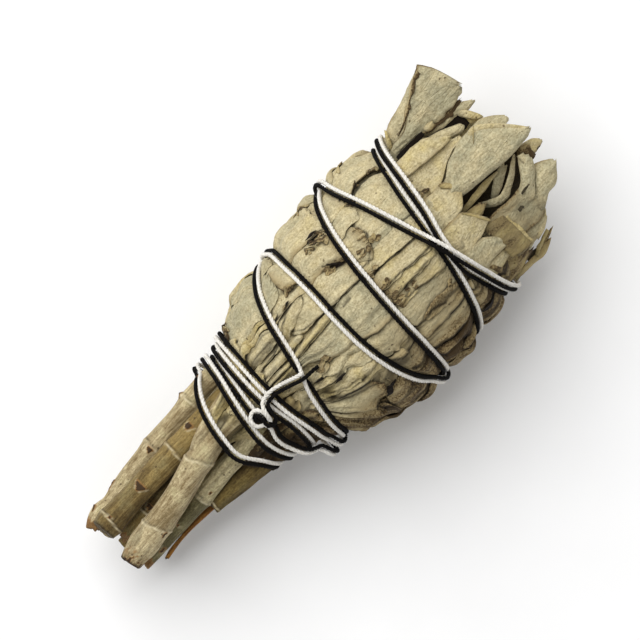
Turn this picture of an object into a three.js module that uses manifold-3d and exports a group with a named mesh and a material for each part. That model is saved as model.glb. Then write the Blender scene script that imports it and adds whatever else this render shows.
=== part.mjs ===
// A white sage smudge stick: seven leafy sprigs, tied into a club with a twin twine, black and white.
// It lies on its side. X runs from the cut stems (-X) to the leaf tips (+X), Z is up, sizes in millimetres.
import * as THREE from "three";
import { mergeVertices } from "three/addons/utils/BufferGeometryUtils.js";
import Module from "manifold-3d";

const wasm = await Module();
wasm.setup();

// Driving dimensions
const bladeThickness = 0.8;
const leafDepth = 0.6; // how far the pressed core lies under the skin that the twine runs on
const grooveDepth = 0.28; // how far the twine's groove lies under the skin
const grooveWidth = 2.8;
const seamGap = 0.34; // between the leaves of neighbouring sprigs
const stemGap = 0.16; // between a stem and the leaves round it
const strandDiameter = 0.76;
const strandSpacing = 0.92; // between the black and the white strand
const twineGap = 0.2; // between the leaves and the twine
const crossingPitch = 1.07; // height of one strand over another where they cross
const restHeight = 0; // the surface the bundle lies on
const bundlePlace = [-0.06, 0.45, 0]; // puts the middle of the whole over the origin

// Skin of the tied bundle: at each x, its reach in +Y and -Y and its lowest and highest point.
const skinStations = [
  [-27, 10.0, -8.7, 8.6, 24.2],
  [-20, 10.1, -9.3, 7.8, 25.2],
  [-14, 11.0, -11.3, 6.2, 26.4],
  [-9, 13.0, -13.6, 4.2, 28.6],
  [-4, 15.2, -15.5, 2.5, 31.0],
  [2, 15.8, -17.5, 1.35, 33.0],
  [8, 16.4, -18.7, 1.35, 34.2],
  [14, 17.0, -18.8, 1.35, 34.6],
  [20, 17.2, -18.2, 1.35, 34.4],
  [26, 16.5, -17.5, 1.35, 33.4],
  [31, 15.2, -16.8, 1.6, 31.6],
  [36, 13.8, -15.4, 3.4, 29.2],
];

// A smooth value between stations, by a cubic through the neighbours.
function between(stations, x, column) {
  const last = stations.length - 1;
  let i = 0;
  while (i < last - 1 && x > stations[i + 1][0]) i += 1;
  const [x0, x1] = [stations[i][0], stations[i + 1][0]];
  const t = THREE.MathUtils.clamp((x - x0) / (x1 - x0), 0, 1);
  const slope = (k) => {
    const a = stations[Math.max(k - 1, 0)];
    const b = stations[Math.min(k + 1, last)];
    return (b[column] - a[column]) / (b[0] - a[0]);
  };
  const [p0, p1] = [stations[i][column], stations[i + 1][column]];
  const [m0, m1] = [slope(i) * (x1 - x0), slope(i + 1) * (x1 - x0)];
  const [t2, t3] = [t * t, t * t * t];
  return (2 * t3 - 3 * t2 + 1) * p0 + (t3 - 2 * t2 + t) * m0 + (3 * t2 - 2 * t3) * p1 + (t3 - t2) * m1;
}

// Centre and half sizes of the skin's oval at x.
function oval(x) {
  const [high, low, under, top] = [1, 2, 3, 4].map((column) => between(skinStations, x, column));
  return { y: (high + low) / 2, z: (under + top) / 2, a: (high - low) / 2, b: (top - under) / 2 };
}

const radians = THREE.MathUtils.degToRad;

// A point on the skin, lift above it. The angle is 0 at +Y, 90 at the top, 180 at -Y and 270 underneath.
function skin(x, degrees, lift = 0) {
  const o = oval(x);
  const turn = radians(degrees);
  return new THREE.Vector3(x, o.y + (o.a + lift) * Math.cos(turn), o.z + (o.b + lift) * Math.sin(turn));
}

// A fixed row of random numbers from 0 to 1.
function randomRow(seed) {
  let state = seed >>> 0;
  return () => {
    state = (Math.imul(state, 1664525) + 1013904223) >>> 0;
    return state / 4294967296;
  };
}

// Moves each vertex of a closed three.js geometry and makes it a solid.
function bentSolid(geometry, move) {
  geometry.deleteAttribute("normal");
  geometry.deleteAttribute("uv");
  const merged = mergeVertices(geometry, 1e-4);
  const place = merged.attributes.position;
  const point = new THREE.Vector3();
  for (let i = 0; i < place.count; i += 1) {
    const moved = move(point.fromBufferAttribute(place, i));
    place.setXYZ(i, moved.x, moved.y, moved.z);
  }
  const triVerts = new Uint32Array(merged.index.array);
  const faces = { numProp: 3, vertProperties: place.array, triVerts };
  const make = () => new wasm.Manifold(new wasm.Mesh(faces));
  const made = make();
  if (made.volume() > 0) return made;
  for (let i = 0; i < triVerts.length; i += 3) {
    [triVerts[i], triVerts[i + 1]] = [triVerts[i + 1], triVerts[i]];
  }
  return make();
}

// The biggest body of a solid, as a named mesh.
function named(name, solid, material) {
  const bodies = solid.decompose().sort((a, b) => b.volume() - a.volume());
  const cut = bodies[0].getMesh();
  const geometry = new THREE.BufferGeometry();
  geometry.setAttribute("position", new THREE.BufferAttribute(new Float32Array(cut.vertProperties), 3));
  geometry.setIndex(new THREE.BufferAttribute(new Uint32Array(cut.triVerts), 1));
  geometry.computeVertexNormals();
  const mesh = new THREE.Mesh(geometry, material);
  mesh.name = name;
  return mesh;
}

// Blades

// Half width of a sage leaf along its length: a stalk, a long oval blade and a blunt tip.
function leafOutline(u, stalk) {
  if (u < stalk) return 0.17 + 0.1 * (u / stalk);
  const t = (u - stalk) / (1 - stalk);
  return 0.27 + 0.73 * Math.sin(Math.PI * Math.min(1, t * 0.9 + 0.04)) ** 0.75 - 0.1 * t;
}

const bladeCells = { along: 5, across: 2 };

const pressedLooks = { turn: 0, crown: 0.35, stalk: 0.16, bulge: 0 };

// A leaf pressed on the bundle. It starts at x and angle, runs for length and turns from the axis.
// The lifts are those of its upper face over the skin. Below, it reaches into the leaves of the core.
function pressedLeaf(spec) {
  const { x, angle, length, width, turn } = { ...pressedLooks, ...spec };
  const { rootLift, tipLift, crown, stalk, bulge } = { ...pressedLooks, ...spec };
  const box = new THREE.BoxGeometry(1, 2, 1, bladeCells.along, bladeCells.across, 1);
  const heading = radians(turn);
  return bentSolid(box, (p) => {
    const u = p.x + 0.5;
    const across = (p.y * width * leafOutline(u, stalk)) / 2;
    const along = u * length;
    const px = x + along * Math.cos(heading) - across * Math.sin(heading);
    const o = oval(px);
    const arc = along * Math.sin(heading) + across * Math.cos(heading);
    const degrees = angle - THREE.MathUtils.radToDeg(arc / ((o.a + o.b) / 2));
    const swell = bulge * Math.sin(Math.PI * u) - crown * p.y * p.y;
    const top = THREE.MathUtils.lerp(rootLift, tipLift, u) + swell;
    return skin(px, degrees, p.z > 0 ? top : -leafDepth - 2 * bladeThickness);
  });
}

// A leaf that stands free: three points of its midrib, the way its width points, and the fold of its sides.
function freeLeaf({ base, middle, tip, side, width, fold = 0, stalk = 0.02, cells = bladeCells }) {
  const box = new THREE.BoxGeometry(1, 2, 1, cells.along, cells.across, 1);
  const rib = new THREE.QuadraticBezierCurve3(
    new THREE.Vector3(...base),
    new THREE.Vector3(...middle),
    new THREE.Vector3(...tip),
  );
  return bentSolid(box, (p) => {
    const u = p.x + 0.5;
    const along = rib.getTangent(u);
    const wide = new THREE.Vector3(...side);
    wide.addScaledVector(along, -wide.dot(along)).normalize();
    const face = new THREE.Vector3().crossVectors(along, wide);
    const reach = (p.y * width * leafOutline(u, stalk)) / 2;
    const bend = radians(fold) * Math.abs(p.y);
    const spot = rib.getPoint(u);
    spot.addScaledVector(wide, reach * Math.cos(bend));
    spot.addScaledVector(face, Math.abs(reach) * Math.sin(bend) + p.z * bladeThickness);
    return spot;
  });
}

// Rows of leaves on the body, from the neck to the tips. Each row's tips lie over the roots of the next.
const leafRows = [
  { x: -20, count: 8, length: 27, width: 11.5, offset: 12 },
  { x: -9, count: 9, length: 27, width: 13, offset: 32 },
  { x: 3, count: 9, length: 26, width: 13.5, offset: 14 },
  { x: 13, count: 9, length: 24, width: 13, offset: 30 },
];
const rowLift = { root: -1.2, tip: 1.35, step: 0.4 }; // every other leaf of a row lies a step lower

function rowLeaves() {
  const random = randomRow(7);
  const leaves = [];
  for (const row of leafRows) {
    for (let i = 0; i < row.count; i += 1) {
      const step = 360 / row.count;
      leaves.push({
        x: row.x + 3 * (random() - 0.5),
        angle: row.offset + i * step + 0.25 * step * (random() - 0.5),
        length: row.length * (0.92 + 0.16 * random()),
        width: row.width * (0.92 + 0.16 * random()),
        turn: 10 * (random() - 0.5),
        rootLift: rowLift.root,
        tipLift: rowLift.tip - rowLift.step * (i % 2),
      });
    }
  }
  return leaves;
}

// Leaves pressed out between the turns of twine underneath. The bundle rests on them.
const restingLeaves = [
  { x: -1.2, angle: 267, length: 6.4, width: 17 },
  { x: 8.2, angle: 269, length: 5.2, width: 19 },
  { x: 20.9, angle: 271, length: 7.6, width: 18 },
];
const restingBulge = 2.9;

function restingLeaf(spec) {
  return pressedLeaf({ ...spec, rootLift: -0.6, tipLift: -0.6, crown: 0, stalk: 0, bulge: restingBulge });
}

// Leaves at the tips, placed by hand as they stand.
const tipLeaves = [
  { base: [28, 8, 23], middle: [37, 13, 30], tip: [47.8, 18.4, 29.6], side: [-0.25, 1, 0.1], width: 8.6 },
  {
    base: [28, 12, 20], middle: [36, 15.2, 23.5], tip: [45, 17.6, 24.6],
    side: [0.1, 0.5, 0.85], width: 6.4,
  },
  {
    base: [27, 7, 26.5], middle: [35, 8.4, 31.5], tip: [42, 6.9, 29.6],
    side: [0, 1, -0.25], width: 7.6, fold: -14,
  },
  { base: [30, 8.2, 24], middle: [38, 8.8, 27], tip: [47.4, 9.2, 26.4], side: [0, 1, 0.4], width: 3.8 },
  {
    base: [26, 1.2, 26.6], middle: [39, 3.6, 33.4], tip: [50.2, -0.7, 31.4],
    side: [0.05, 1, 0], width: 9.6,
  },
  { base: [30, 3.8, 25], middle: [41, 4.4, 29], tip: [48.8, 2.9, 28.4], side: [0, 1, 0.1], width: 4.4 },
  {
    base: [27, -5.4, 26.4], middle: [39, -5.8, 31], tip: [48.8, -7, 28],
    side: [0.2, 1, 0.25], width: 6.8, fold: 12,
  },
  { base: [26, -9.6, 25], middle: [36, -12, 30], tip: [44.6, -9.4, 26.6], side: [0, 1, -0.4], width: 7.6 },
  {
    base: [24, -12, 18.5], middle: [34, -18.6, 19.4], tip: [41.6, -14.6, 19.2],
    side: [0, 0.35, 1], width: 6.6,
  },
  { base: [30, -3.2, 23], middle: [40, -3.6, 26.4], tip: [49.4, -3.4, 26.8], side: [0, 1, 0.3], width: 3 },
  { base: [30, -5, 20], middle: [38, -5.6, 24.4], tip: [45, -5.4, 25.4], side: [0, 0.5, 1], width: 4 },
  { base: [30, 0.5, 17], middle: [38, 0.8, 21], tip: [46.6, 1.4, 22.6], side: [0, 0.7, 1], width: 6 },
  { base: [30, 9, 16], middle: [38, 10.6, 18], tip: [46.8, 12.2, 19.6], side: [0, -0.4, 1], width: 7.4 },
  {
    base: [29, -10, 14], middle: [37, -12.6, 14.6], tip: [44.8, -11.4, 13.4],
    side: [0, 0.3, 1], width: 7.4,
  },
  { base: [28, 9, 9.5], middle: [37, 11, 8], tip: [45.6, 11.4, 8.8], side: [0, -1, 0.7], width: 8.6 },
  { base: [28, 2, 7.4], middle: [38, 2.2, 4.4], tip: [48, 1.4, 6], side: [0, -1, 0.05], width: 8.8 },
  { base: [28, -6, 7.8], middle: [37, -7.4, 5], tip: [46.4, -7.4, 6.4], side: [0, -1, -0.3], width: 8.4 },
  { base: [30, -2, 12], middle: [39, -2.4, 12], tip: [47.4, -1.6, 12.6], side: [0, -0.9, 0.5], width: 7 },
];

// The space outside the skin under the last turns of twine, where the roots of tip leaves are pinched in.
const pinch = { from: 20, to: 33.8, lift: -0.1, round: 24, along: 4, reach: 40 };

function outsideSkin() {
  const size = [pinch.to - pinch.from, 2 * pinch.reach, 2 * pinch.reach];
  const centre = (pinch.from + pinch.to) / 2;
  const block = bentSolid(new THREE.BoxGeometry(...size), (p) => p.setX(p.x + centre));
  const drum = new THREE.CylinderGeometry(1, 1, 1, pinch.round, pinch.along);
  const inside = bentSolid(drum, (p) => {
    const x = THREE.MathUtils.lerp(pinch.from - 2, pinch.to + 2, p.y + 0.5);
    const o = oval(x);
    return new THREE.Vector3(x, o.y + (o.a + pinch.lift) * p.x, o.z + (o.b + pinch.lift) * p.z);
  });
  return block.subtract(inside);
}

// The pressed leaves under the blades, from the neck to the tips.
const coreEnd = { from: -25, to: 33, nose: 4 };
const coreCells = { round: 20, along: 9 };

function leafCore() {
  const { from, to } = coreEnd;
  const drum = new THREE.CylinderGeometry(1, 1, 1, coreCells.round, coreCells.along);
  return bentSolid(drum, (p) => {
    const x = THREE.MathUtils.lerp(from, to, p.y + 0.5);
    const radius = Math.hypot(p.x, p.z);
    const o = oval(x);
    if (radius < 0.5) return new THREE.Vector3(p.y > 0 ? x + coreEnd.nose : x, o.y, o.z);
    const taper = Math.min(1, 0.74 + (x - from) * 0.045, 0.78 + (to - x) * 0.045);
    const turn = Math.atan2(p.z, p.x);
    const [a, b] = [(o.a - leafDepth) * taper, (o.b - leafDepth) * taper];
    return new THREE.Vector3(x, o.y + a * Math.cos(turn), o.z + b * Math.sin(turn));
  });
}

// The seams between the sprigs run along the bundle, each from an angle at the neck to one at the body.
const seams = [
  { neck: 20, body: 43, wave: 1.6, phase: 0 },
  { neck: 60, body: 79, wave: 2.2, phase: 1.2 },
  { neck: 112, body: 107, wave: 2.0, phase: 2.6 },
  { neck: 172, body: 144, wave: 2.6, phase: 4.0 },
  { neck: 255, body: 240, wave: 3.0, phase: 5.1 },
  { neck: 330, body: 338, wave: 3.0, phase: 0.8 },
];
const seamStart = -20;
const seamBody = 2;
const seamWaveLength = 27;

function seamAngle(seam, x) {
  const t = THREE.MathUtils.smoothstep(x, seamStart, seamBody);
  return THREE.MathUtils.lerp(seam.neck, seam.body, t)
    + seam.wave * Math.sin((2 * Math.PI * x) / seamWaveLength + seam.phase);
}

// The space past one seam: it begins at the seam, shifted across it by the gap, and ends 150 degrees on.
const seamSpan = { from: -30, to: 56, steps: 10, reach: 45, corner: 75 };

function spacePastSeam(seam, gap) {
  const prism = new THREE.CylinderGeometry(1, 1, 1, 4, seamSpan.steps);
  const across = radians((seam.neck + seam.body) / 2 + 90);
  const shift = new THREE.Vector3(0, gap * Math.cos(across), gap * Math.sin(across));
  return bentSolid(prism, (p) => {
    const x = THREE.MathUtils.lerp(seamSpan.from, seamSpan.to, p.y + 0.5);
    const o = oval(x);
    const middle = new THREE.Vector3(x, o.y, o.z).add(shift);
    const isHub = Math.hypot(p.x, p.z) < 0.5;
    const corner = Math.round((Math.atan2(p.x, p.z) / (2 * Math.PI)) * 4 + 4) % 4;
    if (!isHub && corner === 0) return middle;
    const turn = radians(seamAngle(seam, x) + seamSpan.corner * (isHub ? 1 : corner - 1));
    const reach = isHub ? 1 : seamSpan.reach;
    return middle.add(new THREE.Vector3(0, reach * Math.cos(turn), reach * Math.sin(turn)));
  });
}

// Stems

const stemSides = 9;

// A round stem along hand-placed points [x, y, z, radius], with a raised ring at each joint of the twig.
function stemSolid({ points, rings = [] }, grow = 0) {
  const route = new THREE.CatmullRomCurve3(points.map((q) => new THREE.Vector3(q[0], q[1], q[2])));
  const length = route.getLength();
  const stops = new Set([0, 1]);
  const stepLength = 9;
  const steps = Math.round(length / stepLength);
  for (let i = 1; i < steps; i += 1) stops.add(i / steps);
  const shares = [...stops].sort((a, b) => a - b);
  for (const ring of rings) {
    const share = ringShare(route, ring);
    for (let i = shares.length - 1; i >= 0; i -= 1) {
      if (Math.abs(shares[i] - share) * length < 2.2 && i > 0 && i < shares.length - 1) shares.splice(i, 1);
    }
    shares.push(share - 0.9 / length, share, share + 0.9 / length);
    shares.sort((a, b) => a - b);
  }
  const ringStops = new Map(rings.map((ring) => [ringShare(route, ring), 1]));
  const drum = new THREE.CylinderGeometry(1, 1, 1, stemSides, shares.length - 1);
  const last = shares.length - 1;
  return bentSolid(drum, (p) => {
    const index = Math.round((p.y + 0.5) * last);
    const share = shares[index];
    const spot = route.getPointAt(share);
    const along = route.getTangentAt(share);
    if (index === 0) spot.addScaledVector(along, -grow);
    if (index === last) spot.addScaledVector(along, grow);
    const wide = new THREE.Vector3(0, 1, 0).addScaledVector(along, -along.y).normalize();
    const face = new THREE.Vector3().crossVectors(along, wide);
    const swell = ringStops.has(share) ? ringSwell : 0;
    const radius = stemRadius(points, spot.x) + grow + swell;
    return spot.addScaledVector(wide, p.x * radius).addScaledVector(face, p.z * radius);
  });
}

const ringSwell = 0.22;

function stemRadius(points, x) {
  const stations = points.map((q) => [q[0], q[3]]);
  return between(stations, x, 1);
}

function ringShare(route, x) {
  let [low, high] = [0, 1];
  for (let i = 0; i < 40; i += 1) {
    const middle = (low + high) / 2;
    if (route.getPointAt(middle).x < x) low = middle;
    else high = middle;
  }
  return (low + high) / 2;
}

const stems = [
  {
    name: "sprig_1_stem",
    rings: [-33.6, -23.4],
    points: [
      [-50.2, 6.9, 13.6, 1.75], [-42, 7.4, 14.2, 1.7], [-34, 8.1, 15.2, 1.75], [-26, 8.4, 16.0, 1.65],
      [-19, 8.2, 16.6, 1.5], [-12, 8.2, 17.0, 1.45], [-4, 7.6, 17.2, 1.35], [4, 6.8, 17.4, 1.2],
    ],
  },
  {
    name: "sprig_2_stem",
    rings: [-39.8, -31.4],
    points: [
      [-49.8, 4.4, 17.4, 2.45], [-42, 4.4, 17.4, 2.4], [-34, 4.6, 17.7, 2.35], [-27, 4.7, 18.1, 2.2],
      [-20, 4.9, 18.5, 2.0], [-12, 4.7, 19.4, 1.8], [-4, 4.2, 20.2, 1.6], [5, 3.8, 21.0, 1.3],
    ],
  },
  {
    name: "sprig_3_stem",
    rings: [-42.6, -29.6],
    points: [
      [-50.4, -2.7, 17.6, 2.5], [-43, -2.0, 18.5, 2.45], [-36, -0.8, 19.8, 2.4], [-30, 0.7, 21.2, 2.35],
      [-24, 1.3, 21.9, 1.9], [-17, 1.0, 22.8, 1.7], [-9, 0.6, 23.4, 1.5], [2, 0.2, 23.6, 1.2],
    ],
  },
  {
    name: "sprig_4_stem",
    rings: [-45.4, -33.7],
    points: [
      [-49, -4.2, 13.2, 1.7], [-42, -4.3, 13.8, 1.8], [-34, -3.9, 15.4, 1.85], [-26, -3.4, 17.6, 1.8],
      [-19, -3.7, 19.2, 1.7], [-12, -4.4, 20.2, 1.6], [-4, -5.2, 20.8, 1.4], [4, -5.8, 21.0, 1.2],
    ],
  },
  {
    name: "sprig_5_stem",
    rings: [-38],
    points: [
      [-48.4, 1.0, 13.9, 1.25], [-38, 1.3, 14.5, 1.25], [-28, 0.9, 16.0, 1.2], [-17, 0.5, 17, 1.1],
      [-6, 0.2, 17.3, 1.0],
    ],
  },
  {
    name: "sprig_6_stem",
    rings: [-36.5],
    points: [
      [-49.4, 4.6, 9.7, 2.2], [-38, 5.0, 10.4, 2.2], [-27, 5.4, 11.6, 2.1], [-18, 5.4, 12.4, 1.9],
      [-8, 5.4, 12.8, 1.6], [4, 5.4, 13.0, 1.2],
    ],
  },
  {
    name: "sprig_7_stem",
    rings: [-40.5, -28.5],
    points: [
      [-49.8, -1.0, 9.2, 2.3], [-38, -1.3, 9.9, 2.3], [-27, -1.8, 11.1, 2.2], [-18, -2.4, 12.0, 2.0],
      [-8, -3.0, 12.6, 1.7], [4, -3.4, 12.8, 1.3],
    ],
  },
];

// A side shoot of the front stem that leaves it at the joint and lies over the neck.
const sideShoot = {
  points: [
    [-31.5, 0.6, 21.2, 1.2], [-26, 3.2, 22.1, 1.25], [-20, 4.7, 22.7, 1.15], [-13, 6.2, 23.1, 1.0],
    [-7, 7.4, 23.6, 0.8],
  ],
};

// A dry leaf stalk and a splinter of brown bark, both held by the twine beside the stems.
const dryStalk = {
  points: [
    [-33.9, -7.0, 14.0, 1.0], [-30, -7.3, 14.6, 1.4], [-25, -7.4, 15.4, 1.6], [-20, -7.5, 16.0, 1.4],
    [-14, -8.2, 16.4, 1.2],
  ],
};
const barkSplinter = {
  points: [
    [-45.8, -7.0, 12.6, 0.45], [-40, -6.4, 12.7, 0.5], [-33, -6.5, 12.4, 0.6], [-26, -7.0, 12.4, 0.6],
    [-19, -7.2, 12.6, 0.5],
  ],
};

// Twine

// Turns of the twin twine seen from above, each from the -Y edge to the +Y edge, as [x, y] of its middle.
const edge = 99; // stands for the very edge of the bundle
const turns = [
  // four round the neck
  [[-16.9, -1.6], [-16.4, 2], [-15.4, 7], [-14.4, edge]],
  [[-17.7, -edge], [-19.4, -6], [-18.9, -1], [-17.8, 3.5], [-16.5, 8], [-15.9, edge]],
  [[-20.4, -edge], [-22, -7.6], [-24.2, -3.6], [-23.8, 1], [-22.4, 6], [-18.6, edge]],
  [[-14.2, -edge], [-13.6, -7], [-14.3, -2], [-14.4, 2], [-13.9, 8], [-13, edge]],
  // up to the leaf tips
  [[-8.6, -edge], [-8.5, -11], [-7.6, -6.4], [-6.4, -2.2], [-5.2, 2], [-3.6, 8], [-1.8, 12.4], [2.3, edge]],
  [[11.1, -edge], [11.8, -14], [12.1, -8], [12.6, -2], [13.3, 4], [14.4, 10], [16.2, 15.3], [18.7, edge]],
  [[20.2, -edge], [22.6, -15], [23.9, -11], [25.2, -6], [26.5, 1], [27.7, 7], [29, 12], [30.7, edge]],
  [[28.6, -edge], [27, -14], [26, -9], [26.6, -3.4], [28.2, 1.6], [29.5, 7], [30.6, 12], [32.4, edge]],
  // and back to the knot
  [[30.4, -edge], [28.6, -14.6], [27.2, -9], [26, -4.4], [24.2, 1.6], [22.2, 9], [20.4, 15], [19.4, edge]],
  [[10.2, -edge], [7, -16.6], [5.4, -12], [4.6, -6], [4.7, 0], [5.2, 7], [5.3, 12], [4.9, edge]],
  [[-10.4, -edge], [-11.6, -9], [-12.3, -4], [-12.4, 1], [-12, 7], [-11.5, edge]],
  [[-12.3, -edge], [-16.2, -9.4], [-16.9, -6.6], [-16.2, -4.2], [-16.6, -2.6]],
];

// The knot: one small loop round the start of the twine, then the free end across the neck.
const knotLoop = [
  [-17.6, -2.1], [-17.5, -0.9], [-16.4, -0.6], [-15.9, -1.7], [-16.2, -3.2], [-15.3, -3.4], [-14.9, -2.0],
];
const freeEnd = [[-14.2, -0.7], [-12.4, -0.4], [-9.4, -1.1], [-6.4, -1.9], [-3.2, -2.5]];

// Where the two strands change sides, as the number of a turn and the angle on it.
const strandSwaps = [[3, -90], [4, 97], [8, -90]];
const swapLength = 9;
const strandBend = 0.39; // how far the twine turns, in radians, from one ring of the strands to the next

// The route as points [x, degrees]. The angle falls by 360 with each turn.
function twineRoute() {
  const route = [];
  const strandRise = twineGap + strandDiameter / 2;
  const angleAt = (x, y) => {
    const o = oval(x);
    const share = THREE.MathUtils.clamp((y - o.y) / (o.a + strandRise), -1, 1);
    return THREE.MathUtils.radToDeg(Math.acos(share));
  };
  turns.forEach((turn, i) => {
    for (const [x, y] of turn) route.push([x, angleAt(x, y) - 360 * i]);
    const next = turns[i + 1];
    if (!next) return;
    const [xEnd, xStart] = [turn.at(-1)[0], next[0][0]];
    for (const share of [0.33, 0.67]) {
      const eased = THREE.MathUtils.lerp(xEnd, xStart, share);
      route.push([eased, -360 * i - 180 * share]);
    }
  });
  const last = turns.length - 1;
  for (const [x, y] of [...knotLoop, ...freeEnd]) route.push([x, angleAt(x, y) - 360 * last]);
  return route;
}

// Evenly spaced samples of the route, with the lift that carries the twine over what was wound before it.
function twineSamples(stepLength) {
  const curve = new THREE.CatmullRomCurve3(
    twineRoute().map(([x, degrees]) => new THREE.Vector3(x, degrees / 4, 0)),
    false,
    "centripetal",
  );
  const strandRise = twineGap + strandDiameter / 2;
  const fine = [];
  const divisions = 6000;
  let run = 0;
  let before = null;
  for (let i = 0; i <= divisions; i += 1) {
    const p = curve.getPoint(i / divisions);
    const place = skin(p.x, p.y * 4, strandRise);
    if (before) run += place.distanceTo(before);
    before = place;
    fine.push({ run, x: p.x, degrees: p.y * 4 });
  }
  const count = Math.round(run / stepLength);
  const samples = [];
  let k = 0;
  for (let i = 0; i <= count; i += 1) {
    const want = (run * i) / count;
    while (k < fine.length - 2 && fine[k + 1].run < want) k += 1;
    const t = (want - fine[k].run) / Math.max(1e-9, fine[k + 1].run - fine[k].run);
    samples.push({
      run: want,
      x: THREE.MathUtils.lerp(fine[k].x, fine[k + 1].x, t),
      degrees: THREE.MathUtils.lerp(fine[k].degrees, fine[k + 1].degrees, t),
      lift: 0,
    });
  }
  frameSamples(samples);
  liftCrossings(samples);
  return samples;
}

// How far along the twine the angle is reached.
function runTo(samples, degrees) {
  const away = (s) => Math.abs(s.degrees - degrees);
  return samples.reduce((best, s) => (away(s) < away(best) ? s : best)).run;
}

// The direction along, sideways and out of the skin at each sample, and how far the twin is rolled over.
function frameSamples(samples) {
  const strandRise = twineGap + strandDiameter / 2;
  const places = samples.map((s) => skin(s.x, s.degrees, strandRise));
  const swapMiddles = strandSwaps.map(([turn, angle]) => runTo(samples, angle - 360 * turn));
  samples.forEach((s, i) => {
    const ahead = places[Math.min(i + 1, places.length - 1)];
    const behind = places[Math.max(i - 1, 0)];
    s.out = skin(s.x, s.degrees, 1).sub(skin(s.x, s.degrees, 0)).normalize();
    s.along = ahead.clone().sub(behind).normalize();
    s.side = new THREE.Vector3().crossVectors(s.out, s.along).normalize();
    s.place = places[i];
    let roll = 0;
    for (const middle of swapMiddles) {
      roll += Math.PI * THREE.MathUtils.smoothstep(s.run, middle - swapLength / 2, middle + swapLength / 2);
    }
    s.roll = roll;
    s.lift = (Math.abs(Math.sin(roll)) * strandSpacing) / 2;
  });
}

function strandPlace(s, sign) {
  const half = (sign * strandSpacing) / 2;
  return s.place.clone()
    .addScaledVector(s.side, half * Math.cos(s.roll))
    .addScaledVector(s.out, half * Math.sin(s.roll) + s.lift);
}

const rampLength = 3.4;

// Lifts each sample over any earlier stretch of twine that it would meet.
function liftCrossings(samples) {
  const clearRun = 4.2;
  for (let i = 0; i < samples.length; i += 1) {
    const s = samples[i];
    const mine = [1, -1].map((sign) => strandPlace(s, sign));
    let need = 0;
    for (let j = 0; j < i && s.run - samples[j].run > clearRun; j += 1) {
      const t = samples[j];
      if (t.place.distanceToSquared(s.place) > 36) continue;
      for (const sign of [1, -1]) {
        const theirs = strandPlace(t, sign);
        for (const own of mine) {
          const gap = theirs.clone().sub(own);
          const up = gap.dot(s.out);
          const flat = Math.sqrt(Math.max(0, gap.lengthSq() - up * up));
          if (flat >= crossingPitch) continue;
          need = Math.max(need, up + Math.sqrt(crossingPitch ** 2 - flat ** 2));
        }
      }
    }
    if (need <= 0) continue;
    const top = s.lift + need;
    for (const t of samples) {
      const away = Math.abs(t.run - s.run) / rampLength;
      if (away < 1) t.lift = Math.max(t.lift, top * (0.5 + 0.5 * Math.cos(Math.PI * away)));
    }
  }
}

const strandSides = 5;

// One strand of the twine, a closed tube through every sample that it needs.
function strandSolid(samples, sign) {
  const drum = new THREE.CylinderGeometry(1, 1, 1, strandSides, samples.length - 1);
  const last = samples.length - 1;
  const places = samples.map((s) => strandPlace(s, sign));
  return bentSolid(drum, (p) => {
    const i = Math.round((p.y + 0.5) * last);
    const along = places[Math.min(i + 1, last)].clone().sub(places[Math.max(i - 1, 0)]).normalize();
    const side = new THREE.Vector3().crossVectors(samples[i].out, along).normalize();
    const out = new THREE.Vector3().crossVectors(along, side);
    return places[i].clone()
      .addScaledVector(side, (p.x * strandDiameter) / 2)
      .addScaledVector(out, (p.z * strandDiameter) / 2);
  });
}

// The groove that the twine has pressed into the leaves of the body, one piece for each turn.
const grooveStart = -11;
const grooveHeight = 4;

function twineGroove(samples) {
  const turnOf = (s) => (s ? Math.round(-s.degrees / 360) : -1);
  const pieces = turns.map((turn, i) => (
    samples.filter((s, k) => s.x > grooveStart && (turnOf(s) === i || turnOf(samples[k - 1]) === i))
  ));
  return wasm.Manifold.union(pieces.filter((piece) => piece.length > 2)
    .map((piece) => {
      const last = piece.length - 1;
      return bentSolid(new THREE.BoxGeometry(1, 1, 1, last, 1, 1), (p) => {
        const s = piece[Math.round((p.x + 0.5) * last)];
        const wall = skin(s.x, s.degrees, p.z > 0 ? grooveHeight : -grooveDepth);
        return wall.addScaledVector(s.side, p.y * grooveWidth);
      });
    }));
}

// Keeps a sample where the twine has turned or bent enough since the last one kept.
function thinned(samples, longest, bend) {
  const shortest = 1.2;
  const kept = [samples[0]];
  for (const s of samples.slice(1, -1)) {
    const from = kept.at(-1);
    const run = s.run - from.run;
    const risen = Math.abs(s.roll - from.roll) * 0.7 + Math.abs(s.lift - from.lift) * 0.9;
    const turned = from.along.angleTo(s.along) + risen;
    if (run > longest || (run > shortest && turned > bend)) kept.push(s);
  }
  kept.push(samples.at(-1));
  return kept;
}

// Materials
const leafMaterial = new THREE.MeshStandardMaterial({ color: 0xb3ab8a, roughness: 0.92, metalness: 0 });
const stemMaterial = new THREE.MeshStandardMaterial({ color: 0xa89a78, roughness: 0.85, metalness: 0 });
const stalkMaterial = new THREE.MeshStandardMaterial({ color: 0x8f8357, roughness: 0.85, metalness: 0 });
const barkMaterial = new THREE.MeshStandardMaterial({ color: 0x9a6526, roughness: 0.8, metalness: 0 });
const blackMaterial = new THREE.MeshStandardMaterial({ color: 0x14110f, roughness: 0.95, metalness: 0 });
const whiteMaterial = new THREE.MeshStandardMaterial({ color: 0xe6e0cf, roughness: 0.95, metalness: 0 });

const bundle = new THREE.Group();
bundle.position.set(...bundlePlace);

// The twine's route, which also presses the leaves in
const wound = twineSamples(0.5);
const groove = twineGroove(thinned(wound, 6.5, 0.48));

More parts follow.
